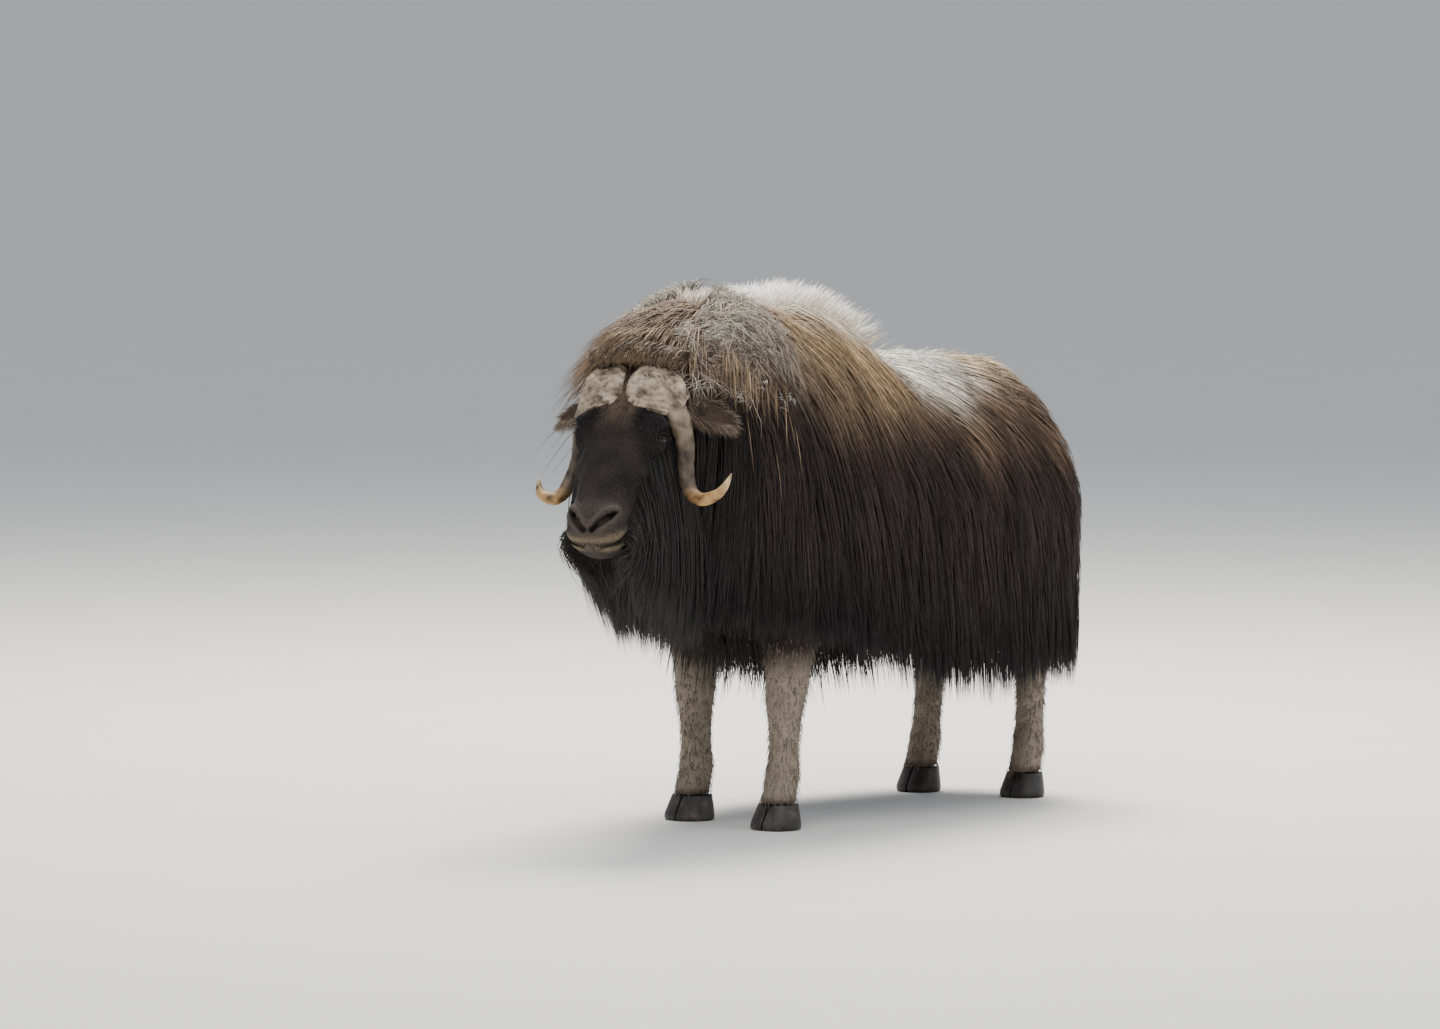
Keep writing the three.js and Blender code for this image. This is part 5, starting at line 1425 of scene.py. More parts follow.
class MUSKOX_OT_wool(bpy.types.Operator):
    """Mat the shed wool on the side of the neck, with pale tufts and hanging streamers"""

    bl_idname = "muskox.wool"
    bl_label = "Shed wool"

    def execute(self, context):
        rng = np.random.default_rng(77)
        material = hair_material("wool_hair", 0.8)
        for name, mirror in (("left", False), ("right", True)):
            give(self.side("wool_" + name, mirror, rng, context.scene.muskox_coat.wool), material)
        return {"FINISHED"}

    def side(self, name, mirror, rng, tufts):
        """The wool of one side: tufts of curled hairs that share a place, a heading and a tone; the dark
        tones stand partly for painted shade between the tufts.
        """
        at_run = rng.uniform(*TUFT_RUN, tufts)
        at_down = 0.12 + 0.26 * rng.beta(1.3, 1.3, tufts) - 0.10 * step(0.05, 0.27, at_run)
        kind = rng.uniform(0, 1, tufts)
        fleck = np.arange(tufts) < len(FLECKS)
        at_run[: len(FLECKS)], at_down[: len(FLECKS)] = np.array(FLECKS).T
        heading = rng.normal(1.2, 0.7, tufts)
        streamer = (kind > STREAMERS_OVER) & ~fleck
        reach = np.where(streamer, rng.uniform(*STREAMER_LENGTH, tufts), rng.uniform(*TUFT_LENGTH, tufts))
        reach = np.where(fleck, FLECK_LENGTH, reach)
        heading = np.where(streamer, QUARTER_TURN + rng.normal(0, 0.12, tufts), heading)
        pick = np.repeat(np.arange(tufts), TUFT_HAIRS)
        count = len(pick)
        t = np.linspace(0, 1, HAIR_STEPS)[None]
        waves = rng.uniform(0.5, 1.3, count)[:, None]
        curl = np.sin(t * TURN * waves + rng.uniform(0, TURN, count)[:, None])
        curl = np.where(fleck[pick], 0.3, 1.0)[:, None] * curl
        turned = (heading[pick] + rng.normal(0, 0.3, count))[:, None]
        run = at_run[pick] + rng.normal(0, 0.012, count)
        down = at_down[pick] + rng.normal(0, 0.010, count)
        length = (reach[pick] * rng.uniform(0.7, 1.2, count))[:, None]
        runs = run[:, None] + np.cos(turned) * length * t + 0.012 * curl * t
        downs = np.clip(down[:, None] + np.sin(turned) * length * 0.8 * t + 0.008 * curl * t, 0, 1)
        layers = 0.80 + 0.24 * np.sin(t * HALF_TURN * 0.8) + rng.normal(0, 0.04, count)[:, None]
        ys, turns = place(RUNS[3] - runs if mirror else runs)
        paths, buried = clear_of_head(coat_point(ys, turns, downs, layers), 0.008)
        outs = coat_out(ys, turns, downs)
        pale = np.clip(rng.normal(0.12, 0.25, tufts) + 0.45 * step(0.26, 0.12, at_down), 0, 0.9)
        # Tufts drawn towards the dark colour at random: partly the wool's own tones, partly painted shade
        # between the tufts
        base = mix(mix(dye("dark"), dye("wool"), shares(rng, 0.6, 0.42, tufts)), dye("cream"), pale)
        base = np.where((fleck | (kind < WHITE_UNDER))[:, None], WHITE_WOOL, base)
        tone = base[pick] * np.clip(rng.normal(1, 0.16, count), 0.5, 1.5)[:, None]
        colours = np.clip(np.repeat(tone[:, None], HAIR_STEPS, 1) * (0.55 + 0.5 * t)[..., None], 0, 1)
        spots = spots_at((run + 0.06) / 0.54, down / 0.5)
        widths = WOOL_WIDTH * rng.uniform(0.7, 1.4, count)
        return hair_mesh(name, *(a[~buried[:, 1]] for a in (paths, outs, widths, colours, spots)))


# How low the beard hangs, z, at places ahead of the poll, and where it grows on the jaw
BEARD_LOW = (
    (-0.16, 0.50), (-0.06, 0.52), (0.0, 0.555), (0.05, 0.60), (0.09, 0.65), (0.12, 0.69), (0.16, 0.74),
)
BEARD_F, BEARD_F_SPAN, CHEEK_SHARE, CHEEK_F, CHEEK_ANGLE = 0.03, 0.43, 0.25, 0.33, 0.15


class MUSKOX_OT_beard(bpy.types.Operator):
    """Hang the beard from the chin, the jaw and the cheeks"""

    bl_idname = "muskox.beard"
    bl_label = "Beard"

    def execute(self, context):
        rng = np.random.default_rng(47)
        count = context.scene.muskox_coat.beard
        f = rng.beta(1.3, 1.0, count) * BEARD_F_SPAN + BEARD_F
        angle = rng.uniform(-HALF_TURN, 0, count)
        cheek = rng.uniform(0, 1, count) < CHEEK_SHARE
        cheek_angle = np.where(rng.uniform(0, 1, count) < 0.5, -CHEEK_ANGLE, -HALF_TURN + CHEEK_ANGLE)
        angle = np.where(cheek & (f < CHEEK_F), cheek_angle + rng.normal(0, 0.12, count), angle)
        roots = head_surface(f, angle)
        roots[:, 1] += 0.004
        roots = from_head(roots)
        lows = np.interp((roots - HEAD_PLACE) @ AHEAD, *np.array(BEARD_LOW).T) + rng.normal(0, 0.022, count)
        lows += 0.10 * rng.beta(1, 3, count)
        t = np.linspace(0, 1, HAIR_STEPS)[None]
        fall = np.maximum(roots[:, 2] - lows, 0.03)[:, None]
        outward = np.cos(angle)[:, None]
        side = outward * 0.035 * np.sin(t * HALF_TURN) - outward * 0.02 * t
        clump = (ripple(roots, 0.05, 21) - 0.5)[:, None]
        sway = (clump * 0.05 + rng.normal(0, 0.008, count)[:, None]) * t
        back = 0.05 * t**1.5 * fall / 0.3
        paths = roots[:, None] + HEAD_LEFT * side[..., None] + HEAD_LEFT * sway[..., None]
        paths = paths - AHEAD * back[..., None] - UP * (fall * t)[..., None]
        paths[:, 1:], _ = clear_of_head(paths[:, 1:], 0.004)
        outs = np.repeat(unit(HEAD_LEFT * outward + AHEAD * 0.6)[:, None], HAIR_STEPS, 1)
        tone = mix(dye("black") * 0.8, dye("brown"), shares(rng, 0.05, 0.12, count))
        colours = np.repeat(tone[:, None], HAIR_STEPS, 1) * (0.8 + 0.3 * t)[..., None]
        spots = spots_at(f / 0.5, (angle + HALF_TURN) / HALF_TURN)
        beard = hair_mesh("beard_hair", paths, outs, varied(rng, BEARD_WIDTH, count), colours, spots)
        give(beard, hair_material("beard_hair"))
        return {"FINISHED"}


# Where short hair grows on the face and the legs, how far it keeps from eyes and nostrils, and its length
FACE_F, LIP_F, LEG_HAIR_TOP_Z = (-0.05, 0.455), 0.43, 0.52
EYE_CLEAR, NOSTRIL_CLEAR, MOUTH_CLEAR = 0.027, 0.016, 0.022
FACE_LENGTH, CHEEK_LONGER, BROW_LONGER = 0.011, 0.026, 0.012


class MUSKOX_OT_face(bpy.types.Operator):
    """Lay the short hair of the face, ears and legs"""

    bl_idname = "muskox.face"
    bl_label = "Short hair"

    def execute(self, context):
        rng = np.random.default_rng(63)
        settings = context.scene.muskox_coat
        material = hair_material("short_hair", 0.75)
        self.face(rng, settings.short, material)
        self.ears(rng, settings.ears, material)
        self.legs(rng, settings.legs, material)
        return {"FINISHED"}

    def face(self, rng, count, material):
        """Hair that lies down the face, longer on the brow and the cheeks."""
        f = rng.uniform(*FACE_F, count)
        angle = rng.uniform(0, TURN, count)
        local = head_surface(f, angle)
        out = way_out(local)
        lie = unit(head_surface(f + 0.004, angle) - local)
        local = head_detail(local)
        eye_gap = np.linalg.norm(mirrored(local) - EYE_AT, axis=-1)
        slit, _ = nostril_gap(local)
        over, in_mouth = mouth_gap(local)
        on_lips = (np.abs(over) < MOUTH_CLEAR) & (in_mouth > 0) & (f > LIP_F)
        keep = (eye_gap > EYE_CLEAR) & (slit > NOSTRIL_CLEAR) & ~on_lips
        local, out, lie, f, angle = (a[keep] for a in (local, out, lie, f, angle))
        count = len(f)
        streak = np.clip(rng.normal(0.75, 0.3, count) + 0.7 * ripple(local, 0.022, 33), 0.35, 2.2)
        # The head's colours hold painted shade round the eyes and under the jaw, a painted shadow under the
        # boss and a painted highlight over the nostrils
        colours = head_colour(local) * streak[:, None]
        brow = step(0.20, 0.08, f) * step(-0.10, -0.03, local[:, 1])
        cheek = step(-0.02, -0.14, local[:, 1]) * step(0.40, 0.30, f)
        lengths = (FACE_LENGTH + CHEEK_LONGER * cheek + BROW_LONGER * brow) * rng.uniform(0.7, 1.3, count)
        loose = rng.normal(0, 1, (count, 3)) * (0.14 + 0.3 * brow)[:, None]
        ways = unit(lie + out * (0.28 + 0.3 * brow)[:, None] + loose) @ HEAD_AXES
        spots = spots_at(angle / TURN, (f + 0.05) / 0.51)
        roots = from_head(local - out * 0.001)
        face = free_hairs("face_hair", roots, ways, lengths, FACE_BEND, varied(rng, FACE_WIDTH, count),
                          colours, spots, out @ HEAD_AXES)
        give(face, material)

    def ears(self, rng, each, material):
        """Hair round the ears, pointing to their tips."""
        roots, ways, outs, spots = [], [], [], []
        for side in (1, -1):
            rings = ear_rings(side)
            pick_r = rng.integers(2, EAR_RINGS - 1, each)
            pick_a = rng.integers(0, EAR_SIDES, each)
            here = rings[pick_r, pick_a]
            out = unit(here - rings[pick_r].mean(1))
            to_tip = np.array((side * 0.9, -0.25, 0.2))
            roots.append(from_head(here))
            ways.append(unit(out * 0.5 + to_tip + rng.normal(0, 0.2, (each, 3))) @ HEAD_AXES)
            outs.append(out @ HEAD_AXES)
            spots.append(np.stack(((pick_r / EAR_RINGS + (side < 0)) / 2, pick_a / EAR_SIDES), -1))
        roots, ways, outs, spots = (np.concatenate(a) for a in (roots, ways, outs, spots))
        count = len(roots)
        colours = mix(EAR_DARK, EAR_PALE, shares(rng, 0.4, 0.3, count))
        lengths = rng.uniform(*EAR_LENGTH, count)
        ears = free_hairs("ear_hair", roots, ways, lengths, EAR_BEND, varied(rng, EAR_WIDTH, count),
                          colours, spots, outs)
        give(ears, material)

    def legs(self, rng, each, material):
        """Hair that lies down the legs, darker at the ankles."""
        roots, outs, spots, tones = [], [], [], []
        for i, (side, fore, forward) in enumerate(LEGS.values()):
            z = rng.uniform(HOOF_TOP_Z + 0.004, LEG_HAIR_TOP_Z, each)
            angle = rng.uniform(0, TURN, each)
            roots.append(leg_surface(leg_stations(side, fore, forward), z, angle))
            outs.append(np.stack((np.cos(angle), np.sin(angle), 0 * angle), -1))
            spot = np.stack(((angle / TURN + i % 2) / 2, (z / LEG_HAIR_TOP_Z + i // 2) / 2), -1)
            spots.append(spot.clip(0, 1))
            ankle = np.clip(step(*ANKLE_Z, z) + rng.normal(0.25, 0.25, each), 0, 1)
            tones.append(mix(dye("stocking"), ANKLE_HAIR, ankle))
        roots, outs, spots, tones = (np.concatenate(a) for a in (roots, outs, spots, tones))
        count = len(roots)
        ways = unit(outs * 0.35 - UP + rng.normal(0, 0.12, (count, 3)))
        lengths = rng.uniform(*LEG_LENGTH, count)
        legs = free_hairs("leg_hair", roots, ways, lengths, LEG_BEND, varied(rng, LEG_WIDTH, count),
                          tones, spots, outs)
        give(legs, material)


CONE_SIDES, CONE_RINGS = 4, 2
CONE_POINTS = CONE_SIDES * CONE_RINGS + 1
BRISTLE_SEED, BRISTLE_LOOSENESS = 12, 0.35
# Whiskers and lashes: length, radius at the root and how they lean; and where whiskers grow on the muzzle
WHISKER_LENGTH, WHISKER_RADIUS, WHISKER_LEAN = 0.026, 0.0006, AHEAD * 0.3 - UP * 0.9
LASH_LENGTH, LASH_RADIUS, LASH_LEAN, LASH_STRIP = 0.012, 0.0005, AHEAD * 0.5 - UP * 0.35, 0.10
WHISKER_F, WHISKER_ANGLES = (0.415, 0.486), (-HALF_TURN - 0.3, 0.3)


def bristle_group():
    """Nodes that scatter thin cones over a mesh, standing along its normals leaned by a given way."""
    group = bpy.data.node_groups.new("bristles", "GeometryNodeTree")
    for name, kind in (
        ("Geometry", "Geometry"), ("Density", "Float"), ("Length", "Float"),
        ("Thickness", "Float"), ("Lean", "Vector"), ("Material", "Material"),
    ):
        group.interface.new_socket(name, in_out="INPUT", socket_type="NodeSocket" + kind)
    group.interface.new_socket("Geometry", in_out="OUTPUT", socket_type="NodeSocketGeometry")
    nodes, links = group.nodes, group.links
    given = nodes.new("NodeGroupInput").outputs
    scatter = nodes.new("GeometryNodeDistributePointsOnFaces")
    scatter.inputs["Seed"].default_value = BRISTLE_SEED
    cone = nodes.new("GeometryNodeMeshCone")
    cone.inputs["Vertices"].default_value = CONE_SIDES
    cone.inputs["Side Segments"].default_value = CONE_RINGS
    leaned = nodes.new("ShaderNodeVectorMath")
    loose = nodes.new("FunctionNodeRandomValue")
    loose.data_type = "FLOAT_VECTOR"
    loose.inputs["Min"].default_value = (-BRISTLE_LOOSENESS,) * 3
    loose.inputs["Max"].default_value = (BRISTLE_LOOSENESS,) * 3
    loose.inputs["Seed"].default_value = BRISTLE_SEED + 1
    way = nodes.new("ShaderNodeVectorMath")
    turned = nodes.new("FunctionNodeAlignRotationToVector")
    placed = nodes.new("GeometryNodeInstanceOnPoints")
    real = nodes.new("GeometryNodeRealizeInstances")
    dressed = nodes.new("GeometryNodeSetMaterial")
    for start, end in (
        (given["Geometry"], scatter.inputs["Mesh"]),
        (given["Density"], scatter.inputs["Density"]),
        (given["Thickness"], cone.inputs["Radius Bottom"]),
        (given["Length"], cone.inputs["Depth"]),
        (scatter.outputs["Normal"], leaned.inputs[0]),
        (given["Lean"], leaned.inputs[1]),
        (leaned.outputs[0], way.inputs[0]),
        (loose.outputs[0], way.inputs[1]),
        (way.outputs[0], turned.inputs["Vector"]),
        (scatter.outputs["Points"], placed.inputs["Points"]),
        (cone.outputs["Mesh"], placed.inputs["Instance"]),
        (turned.outputs["Rotation"], placed.inputs["Rotation"]),
        (placed.outputs["Instances"], real.inputs["Geometry"]),
        (real.outputs["Geometry"], dressed.inputs["Geometry"]),
        (given["Material"], dressed.inputs["Material"]),
        (dressed.outputs["Geometry"], nodes.new("NodeGroupOutput").inputs["Geometry"]),
    ):
        links.new(start, end)
    return group


def bristles(name, points, group, lean, density, length, thickness, material):
    """A piece of bristles over the grid of head points, with their places on the skin's unwrap."""
    made = mesh_object(name, from_head(points).reshape(-1, 3), open_grid_faces(*points.shape[:2]))
    modifier = made.modifiers.new("Bristles", "NODES")
    modifier.node_group = group
    values = {"Density": density, "Length": length, "Thickness": thickness, "Material": material}
    values["Lean"] = tuple(float(v) for v in lean)
    for socket in group.interface.items_tree:
        if socket.in_out == "INPUT" and socket.name in values:
            modifier[socket.identifier] = values[socket.name]
    apply_modifiers(made)
    count = len(made.data.vertices) // CONE_POINTS
    if count == 0 or count * CONE_POINTS != len(made.data.vertices):
        raise RuntimeError("the bristles of " + name + " came out wrong")
    roots = to_head(vertex_points(made.data)[::CONE_POINTS] - SHIFT)
    spots = np.stack((roots[:, 0] / 0.4 + 0.5, roots[:, 2] / 0.6 + 0.1), -1).clip(0.01, 0.99)
    around = np.arange(CONE_POINTS) * TURN / CONE_SIDES
    patch = np.stack((np.cos(around), np.sin(around)), -1) * PATCH / 2
    unwrap(made.data, (spots[:, None] + patch[None]).reshape(-1, 2))
    return made


class MUSKOX_OT_whiskers(bpy.types.Operator):
    """Set the whiskers on the lips and chin and the lashes along the upper lids"""

    bl_idname = "muskox.whiskers"
    bl_label = "Whiskers and lashes"

    def execute(self, context):
        settings = context.scene.muskox_body
        material, _, _, shader = new_material("whisker", 0.5, specular=0.3)
        shader.inputs["Base Color"].default_value = (*dye("whisker"), 1)
        group = bristle_group()
        rows = np.linspace(*WHISKER_F, 14)[:, None]
        muzzle = head_detail(head_surface(rows, np.linspace(*WHISKER_ANGLES, 60)[None]))
        whiskers = bristles("whiskers", muzzle, group, WHISKER_LEAN, settings.whiskers,
                            WHISKER_LENGTH, WHISKER_RADIUS, material)
        give(whiskers, material)
        for name, side in (("left", 1), ("right", -1)):
            strip = LASH_STRIP * np.linspace(0, 1, 3)[:, None]
            edge = lid_points(side, True, settings.eye + LID_THICKNESS, strip)
            lashes = bristles("lashes_" + name, edge, group, LASH_LEAN, settings.lashes,
                              LASH_LENGTH, LASH_RADIUS, material)
            give(lashes, material)
        return {"FINISHED"}


# How finely the boss and the horn are made, the waves of their furrows a metre, and their heights
BOSS_RINGS, BOSS_SIDES, HORN_RINGS, HORN_SIDES = 110, 120, 120, 48
FURROW_WAVES, COARSE, FINE, GROOVES, RIDGES = 18, 70, 190, (60, 120), 11
FURROW_HEIGHT, FINE_HEIGHT, RIDGE_HEIGHT, BOSS_SUNK = 0.0022, 0.0012, 0.0044, 0.005
GROOVE_HEIGHT, GROWTH_RINGS, GROWTH_HEIGHT = 0.0016, 90, 0.0004
SHAFT_FROM, HOOK_FROM, TIP_FROM = (0.08, 0.3), (0.48, 0.68), (0.80, 0.97)


class MUSKOX_OT_horns(bpy.types.Operator):
    """Make the boss and the two horns, furrowed at the base and smooth to the tip"""

    bl_idname = "muskox.horns"
    bl_label = "Horns"

    def execute(self, context):
        material = horn_material()
        rng = np.random.default_rng(8)
        ways = rng.normal(size=(FURROW_WAVES, 3))
        phases = rng.uniform(0, TURN, FURROW_WAVES)
        for name, side in (("left", 1), ("right", -1)):
            parts = [self.boss(side, ways, phases), self.horn(side, ways, phases)]
            horn_piece = join("horn_piece_" + name, parts)
            give(horn_piece, material)
            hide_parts("horn_" + name)
        return {"FINISHED"}

    def boss(self, side, ways, phases):
        """Half the boss, with rough ridges."""
        half = FURROW_WAVES // 2
        boss, _ = swept_rings(np.array(BOSS), ((0, 0, 1),) * len(BOSS), BOSS_RINGS, BOSS_SIDES, side)
        out = unit(boss - boss.mean(1, keepdims=True))
        furrows = sum(np.sin(boss @ (way * COARSE) + phase) for way, phase in zip(ways[:half], phases)) / 3
        fine = sum(np.sin(boss @ (way * FINE) + phase) for way, phase in zip(ways[half:], phases)) / 3
        around = (np.arange(BOSS_SIDES) * TURN / BOSS_SIDES)[None]
        ridges = np.abs(np.sin(RIDGES * around + 1.3 * furrows + 0.5 * fine)) ** 0.6
        rise = FURROW_HEIGHT * furrows + FINE_HEIGHT * fine + RIDGE_HEIGHT * ridges - BOSS_SUNK
        made = loft_object("boss", from_head(boss + out * rise[..., None]))
        pits = 0.30 + 0.62 * ridges + 0.10 * furrows + 0.12 * fine
        shade = mix(dye("furrow"), dye("boss"), pits.clip(0, 1)).reshape(-1, 3)
        paint(made.data, np.concatenate((dye("boss")[None], shade, dye("boss")[None])))
        return made

    def horn(self, side, ways, phases):
        """A horn, grooved along its base and ringed along its shaft."""
        first, second = FURROW_WAVES // 2 + 1, FURROW_WAVES // 2 + 2
        horn, t = swept_rings(horn_table(side), HORN_REFS, HORN_RINGS, HORN_SIDES, side)
        out = unit(horn - horn.mean(1, keepdims=True))
        rough = (1 - step(0.05, 0.45, t))[:, None]
        grooves = sum(np.sin(horn @ (ways[i] * waves) + phases[i]) * 0.5
                      for i, waves in zip((first, second), GROOVES))
        rings = (np.sin(t * GROWTH_RINGS) * step(0.1, 0.2, t) * (1 - step(0.5, 0.8, t)))[:, None]
        horn = horn + out * (GROOVE_HEIGHT * grooves * rough + GROWTH_HEIGHT * rings)[..., None]
        made = loft_object("horn", from_head(horn))
        local = to_head(vertex_points(made.data) - SHIFT)
        table = horn_table(side) * (side, 1, 1, 1, 1)
        line = np.stack([smooth_through(np.linspace(0, 1, len(table)), table[:, i], t) for i in range(3)], -1)
        nearest = t[np.argmin(np.linalg.norm(local[:, None] - line[None], axis=-1), 1)]
        # The shaft's colour is the horn's grey-brown, partly darkened as painted shade beside the face
        base = mix(dye("boss"), dye("shaft"), np.array(0.55))
        colour = mix(base, dye("shaft"), step(*SHAFT_FROM, nearest))
        colour = mix(colour, dye("hook"), step(*HOOK_FROM, nearest))
        paint(made.data, mix(colour, dye("tip"), step(*TIP_FROM, nearest)))
        return made


EYE_ROWS, EYE_COLUMNS, EYE_POLE, CORNEA_RISE, CORNEA_HALF = 40, 48, 0.02, 0.07, 0.62


class MUSKOX_OT_eyes(bpy.types.Operator):
    """Make the two eyes with their clear bulge over the iris"""

    bl_idname = "muskox.eyes"
    bl_label = "Eyes"

    def execute(self, context):
        radius = context.scene.muskox_body.eye
        material = eye_material()
        for name, side in (("left", 1), ("right", -1)):
            looks = eye_way(side)
            other = unit(np.cross(looks, (0, 0, 1)))
            third = np.cross(looks, other)
            polar = np.linspace(EYE_POLE, HALF_TURN - EYE_POLE, EYE_ROWS)[:, None]
            angle = np.arange(EYE_COLUMNS)[None] * TURN / EYE_COLUMNS
            bulge = radius * (1 + CORNEA_RISE * np.exp(-((polar / CORNEA_HALF) ** 4)))
            ahead = looks * (np.cos(polar) * bulge + 0 * angle)[..., None]
            across = other * (np.sin(polar) * bulge * np.cos(angle))[..., None]
            across = across + third * (np.sin(polar) * bulge * np.sin(angle))[..., None]
            eye = loft_object("eyeball_" + name, from_head(EYE_AT * (side, 1, 1) + (ahead + across)))
            give(eye, material)
            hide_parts("eye_" + name)
        return {"FINISHED"}


# A claw: width and length of a fore and a hind one, and at heights its share of each and how far back it sits
FORE_CLAW, HIND_CLAW = (0.060, 0.124), (0.054, 0.114)
CLAW_HEIGHTS = (0, 0.003, 0.010, 0.040, HOOF_TOP_Z)
CLAW_WIDTHS, CLAW_LENGTHS = (0.90, 0.97, 1, 0.92, 0.80), (0.92, 0.97, 1, 0.86, 0.70)
CLAW_BACKS = ((0, 0.010, 0.040, HOOF_TOP_Z), (0, 0, 0.006, 0.012))
SOLE_HEIGHTS, WALL_ROWS, CLAW_SIDES = (0, 0.0005, 0.003), 22, 64
HOOF_RINGS, HOOF_RING_HEIGHT, INNER_WALL, CLEFT_HALF = 1100, 0.0006, -0.12, 0.0025


class MUSKOX_OT_hooves(bpy.types.Operator):
    """Make the claws of the four cloven hooves"""

    bl_idname = "muskox.hooves"
    bl_label = "Hooves"

    def execute(self, context):
        material = hoof_material()
        z = np.concatenate((SOLE_HEIGHTS, np.linspace(0.008, HOOF_TOP_Z, WALL_ROWS)))[:, None]
        angle = np.arange(CLAW_SIDES)[None] * TURN / CLAW_SIDES
        wide, long = (smooth_through(CLAW_HEIGHTS, shares, z) for shares in (CLAW_WIDTHS, CLAW_LENGTHS))
        back = smooth_through(*CLAW_BACKS, z)
        rings = HOOF_RING_HEIGHT * np.sin(z * HOOF_RINGS) * step(0.01, 0.02, z)
        for name, (side, fore, forward) in LEGS.items():
            leg_x, leg_y = leg_stations(side, fore, forward)[-1][:2]
            width, length = FORE_CLAW if fore else HIND_CLAW
            across = np.maximum(np.cos(angle), INNER_WALL) * (width * wide + rings)
            across = CLEFT_HALF - width * INNER_WALL + across
            y = leg_y - 0.008 + back + np.sin(angle) * (length * long / 2 + rings)
            for label, away in (("outer", side), ("inner", -side)):
                points = np.stack((leg_x + away * across, y, z + 0 * angle), -1)
                claw = loft_object("claw_%s_%s" % (name, label), points)
                give(claw, material)
                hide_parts("hoof_%s_%s" % (name, label))
        return {"FINISHED"}


# Stage

PIXELS_A_METRE, FRAME_WIDTH, FRAME_HEIGHT, SENSOR = 370.0, 1440, 1029, 36.0
HUMP_TOP_Z, HUMP_PIXEL = 1.45, (770, 285)
FLOOR_RINGS, FLOOR_SIDES, FAR_CLIP = (0.0001, 2, 8, 40), 96, 2000.0
SKY_COLOUR, SKY_STRENGTH = (0.80, 0.84, 0.90, 1), 0.66
LIT_POINT = (0, 0, 0.8)
# Each light's place, power, width and colour
LIGHTS = {
    "sky_key": ((3.0, -5.0, 7.0), 420, 6.0, (1.0, 0.98, 0.95)),
    "sky_back": ((-2.0, 3.0, 7.5), 1500, 4.5, (1.0, 0.97, 0.92)),
    "sky_side": ((7.0, 2.0, 4.0), 130, 5.0, (0.95, 0.97, 1.0)),
}


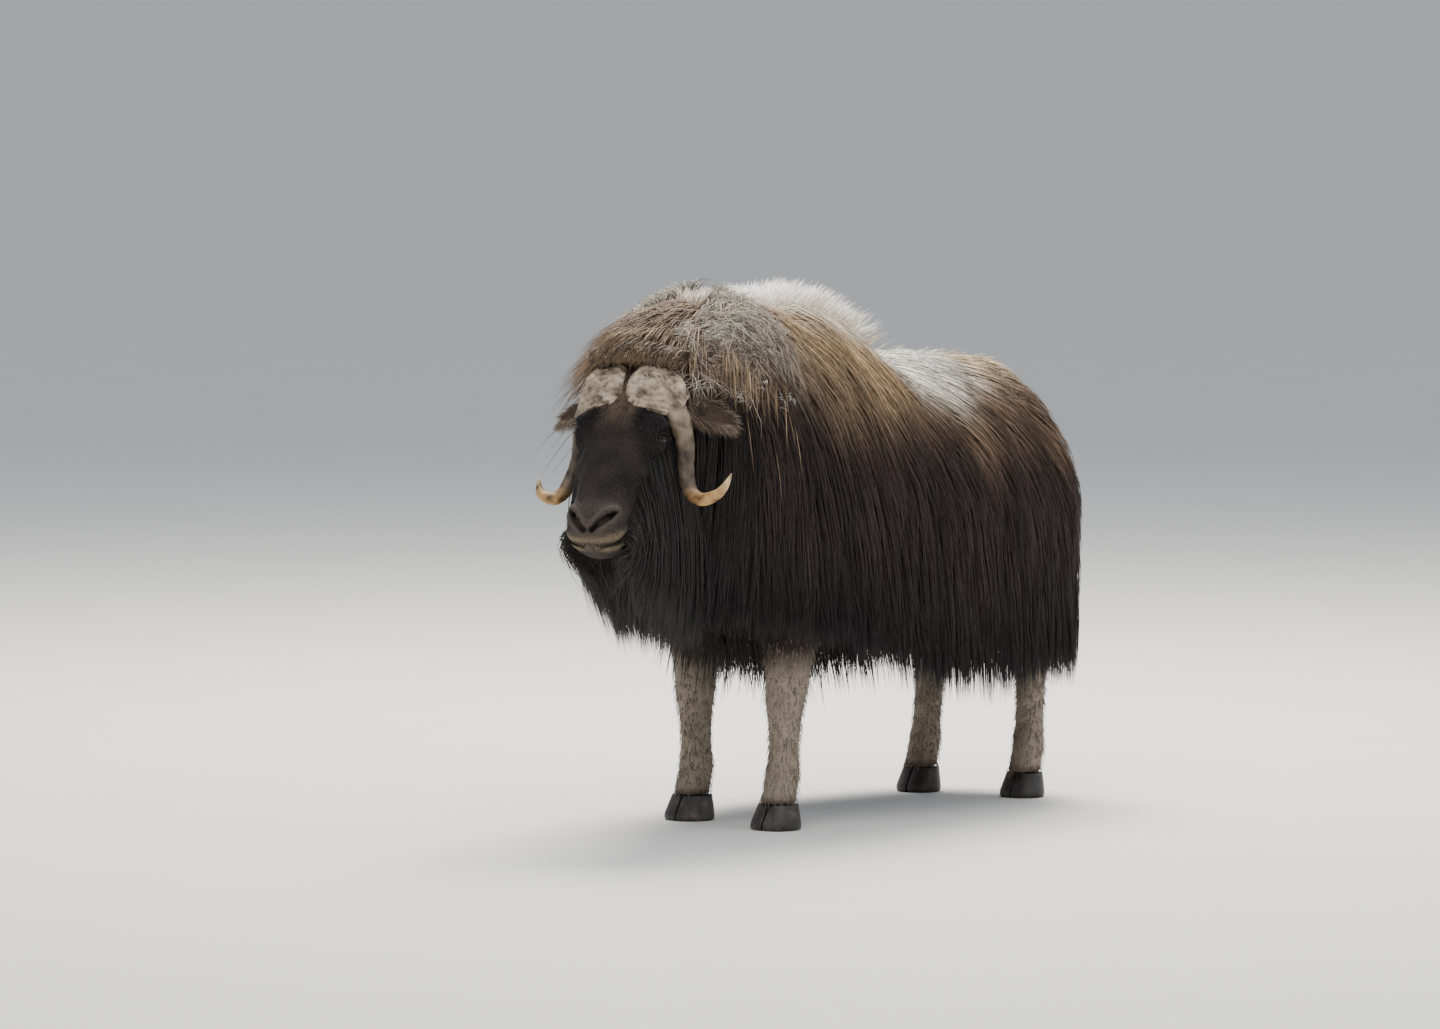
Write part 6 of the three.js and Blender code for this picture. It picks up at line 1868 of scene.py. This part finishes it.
class MUSKOX_OT_stage(bpy.types.Operator):
    """Set up the floor, the soft light and the camera"""

    bl_idname = "muskox.stage"
    bl_label = "Stage"

    def execute(self, context):
        settings = context.scene.muskox_stage
        angle = np.arange(FLOOR_SIDES) * TURN / FLOOR_SIDES
        rings = np.array((*FLOOR_RINGS, settings.floor))[:, None]
        points = np.stack((rings * np.cos(angle), rings * np.sin(angle), 0 * rings * angle), -1)
        floor = mesh_object("floor", points.reshape(-1, 3), grid_faces(*points.shape[:2]), shift=False)
        floor.data.materials.append(floor_material())
        world = bpy.data.worlds.new("soft_sky")
        world.use_nodes = True
        sky = world.node_tree.nodes["Background"]
        sky.inputs["Color"].default_value = SKY_COLOUR
        sky.inputs["Strength"].default_value = SKY_STRENGTH
        context.scene.world = world
        for name, (place_at, power, size, colour) in LIGHTS.items():
            light = bpy.data.lights.new(name, "AREA")
            light.energy, light.size, light.color = power, size, colour
            lamp = bpy.data.objects.new(name, light)
            lamp.location = place_at
            lamp.rotation_euler = (Vector(LIT_POINT) - lamp.location).to_track_quat("-Z", "Y").to_euler()
            context.scene.collection.objects.link(lamp)
        self.camera(context, settings)
        return {"FINISHED"}

    def camera(self, context, settings):
        """The camera at the photo's angle, with the top of the hump at its place in the frame."""
        right = np.array((math.cos(settings.azimuth), math.sin(settings.azimuth), 0))
        level = math.cos(settings.elevation)
        back = np.array((math.sin(settings.azimuth) * level, -math.cos(settings.azimuth) * level,
                         math.sin(settings.elevation)))
        across = (FRAME_WIDTH / 2 - HUMP_PIXEL[0]) / PIXELS_A_METRE
        below = (FRAME_HEIGHT / 2 - HUMP_PIXEL[1]) / PIXELS_A_METRE / level
        target = right * across + UP * (HUMP_TOP_Z - below) + SHIFT
        data = bpy.data.cameras.new("camera")
        data.sensor_width = SENSOR
        data.lens = PIXELS_A_METRE * settings.distance * SENSOR / FRAME_WIDTH
        data.clip_end = FAR_CLIP
        camera = bpy.data.objects.new("camera", data)
        camera.location = Vector(target + back * settings.distance)
        camera.rotation_euler = Vector(-back).to_track_quat("-Z", "Y").to_euler()
        context.scene.collection.objects.link(camera)
        context.scene.camera = camera


OPERATORS = (
    MUSKOX_OT_skin, MUSKOX_OT_coat, MUSKOX_OT_belly, MUSKOX_OT_crest, MUSKOX_OT_wool, MUSKOX_OT_beard,
    MUSKOX_OT_face, MUSKOX_OT_whiskers, MUSKOX_OT_horns, MUSKOX_OT_eyes, MUSKOX_OT_hooves, MUSKOX_OT_stage,
)


class MUSKOX_PT_panel(bpy.types.Panel):
    """The sizes, colours and operators of the muskox"""

    bl_idname = "MUSKOX_PT_panel"
    bl_label = "Muskox"
    bl_space_type = "VIEW_3D"
    bl_region_type = "UI"
    bl_category = "Muskox"

    def draw(self, context):
        for group in SETTINGS:
            settings = getattr(context.scene, group)
            for name in settings.bl_rna.properties.keys():
                if name not in ("rna_type", "name"):
                    self.layout.prop(settings, name)
        for operator in OPERATORS:
            self.layout.operator(operator.bl_idname)


SETTINGS = {
    "muskox_body": MUSKOX_body_settings,
    "muskox_coat": MUSKOX_coat_settings,
    "muskox_colours": MUSKOX_colour_settings,
    "muskox_stage": MUSKOX_stage_settings,
}
CLASSES = (*SETTINGS.values(), *OPERATORS, MUSKOX_PT_panel)


def register():
    """Makes the settings, the operators and the panel known to Blender."""
    for made in CLASSES:
        bpy.utils.register_class(made)
    for name, made in SETTINGS.items():
        setattr(bpy.types.Scene, name, bpy.props.PointerProperty(type=made))


def unregister():
    """Takes them away again."""
    for name in SETTINGS:
        delattr(bpy.types.Scene, name)
    for made in reversed(CLASSES):
        bpy.utils.unregister_class(made)


def main():
    """Runs every operator in order."""
    register()
    for operator in OPERATORS:
        getattr(bpy.ops.muskox, operator.bl_idname.split(".")[1])()


if __name__ == "__main__":
    main()
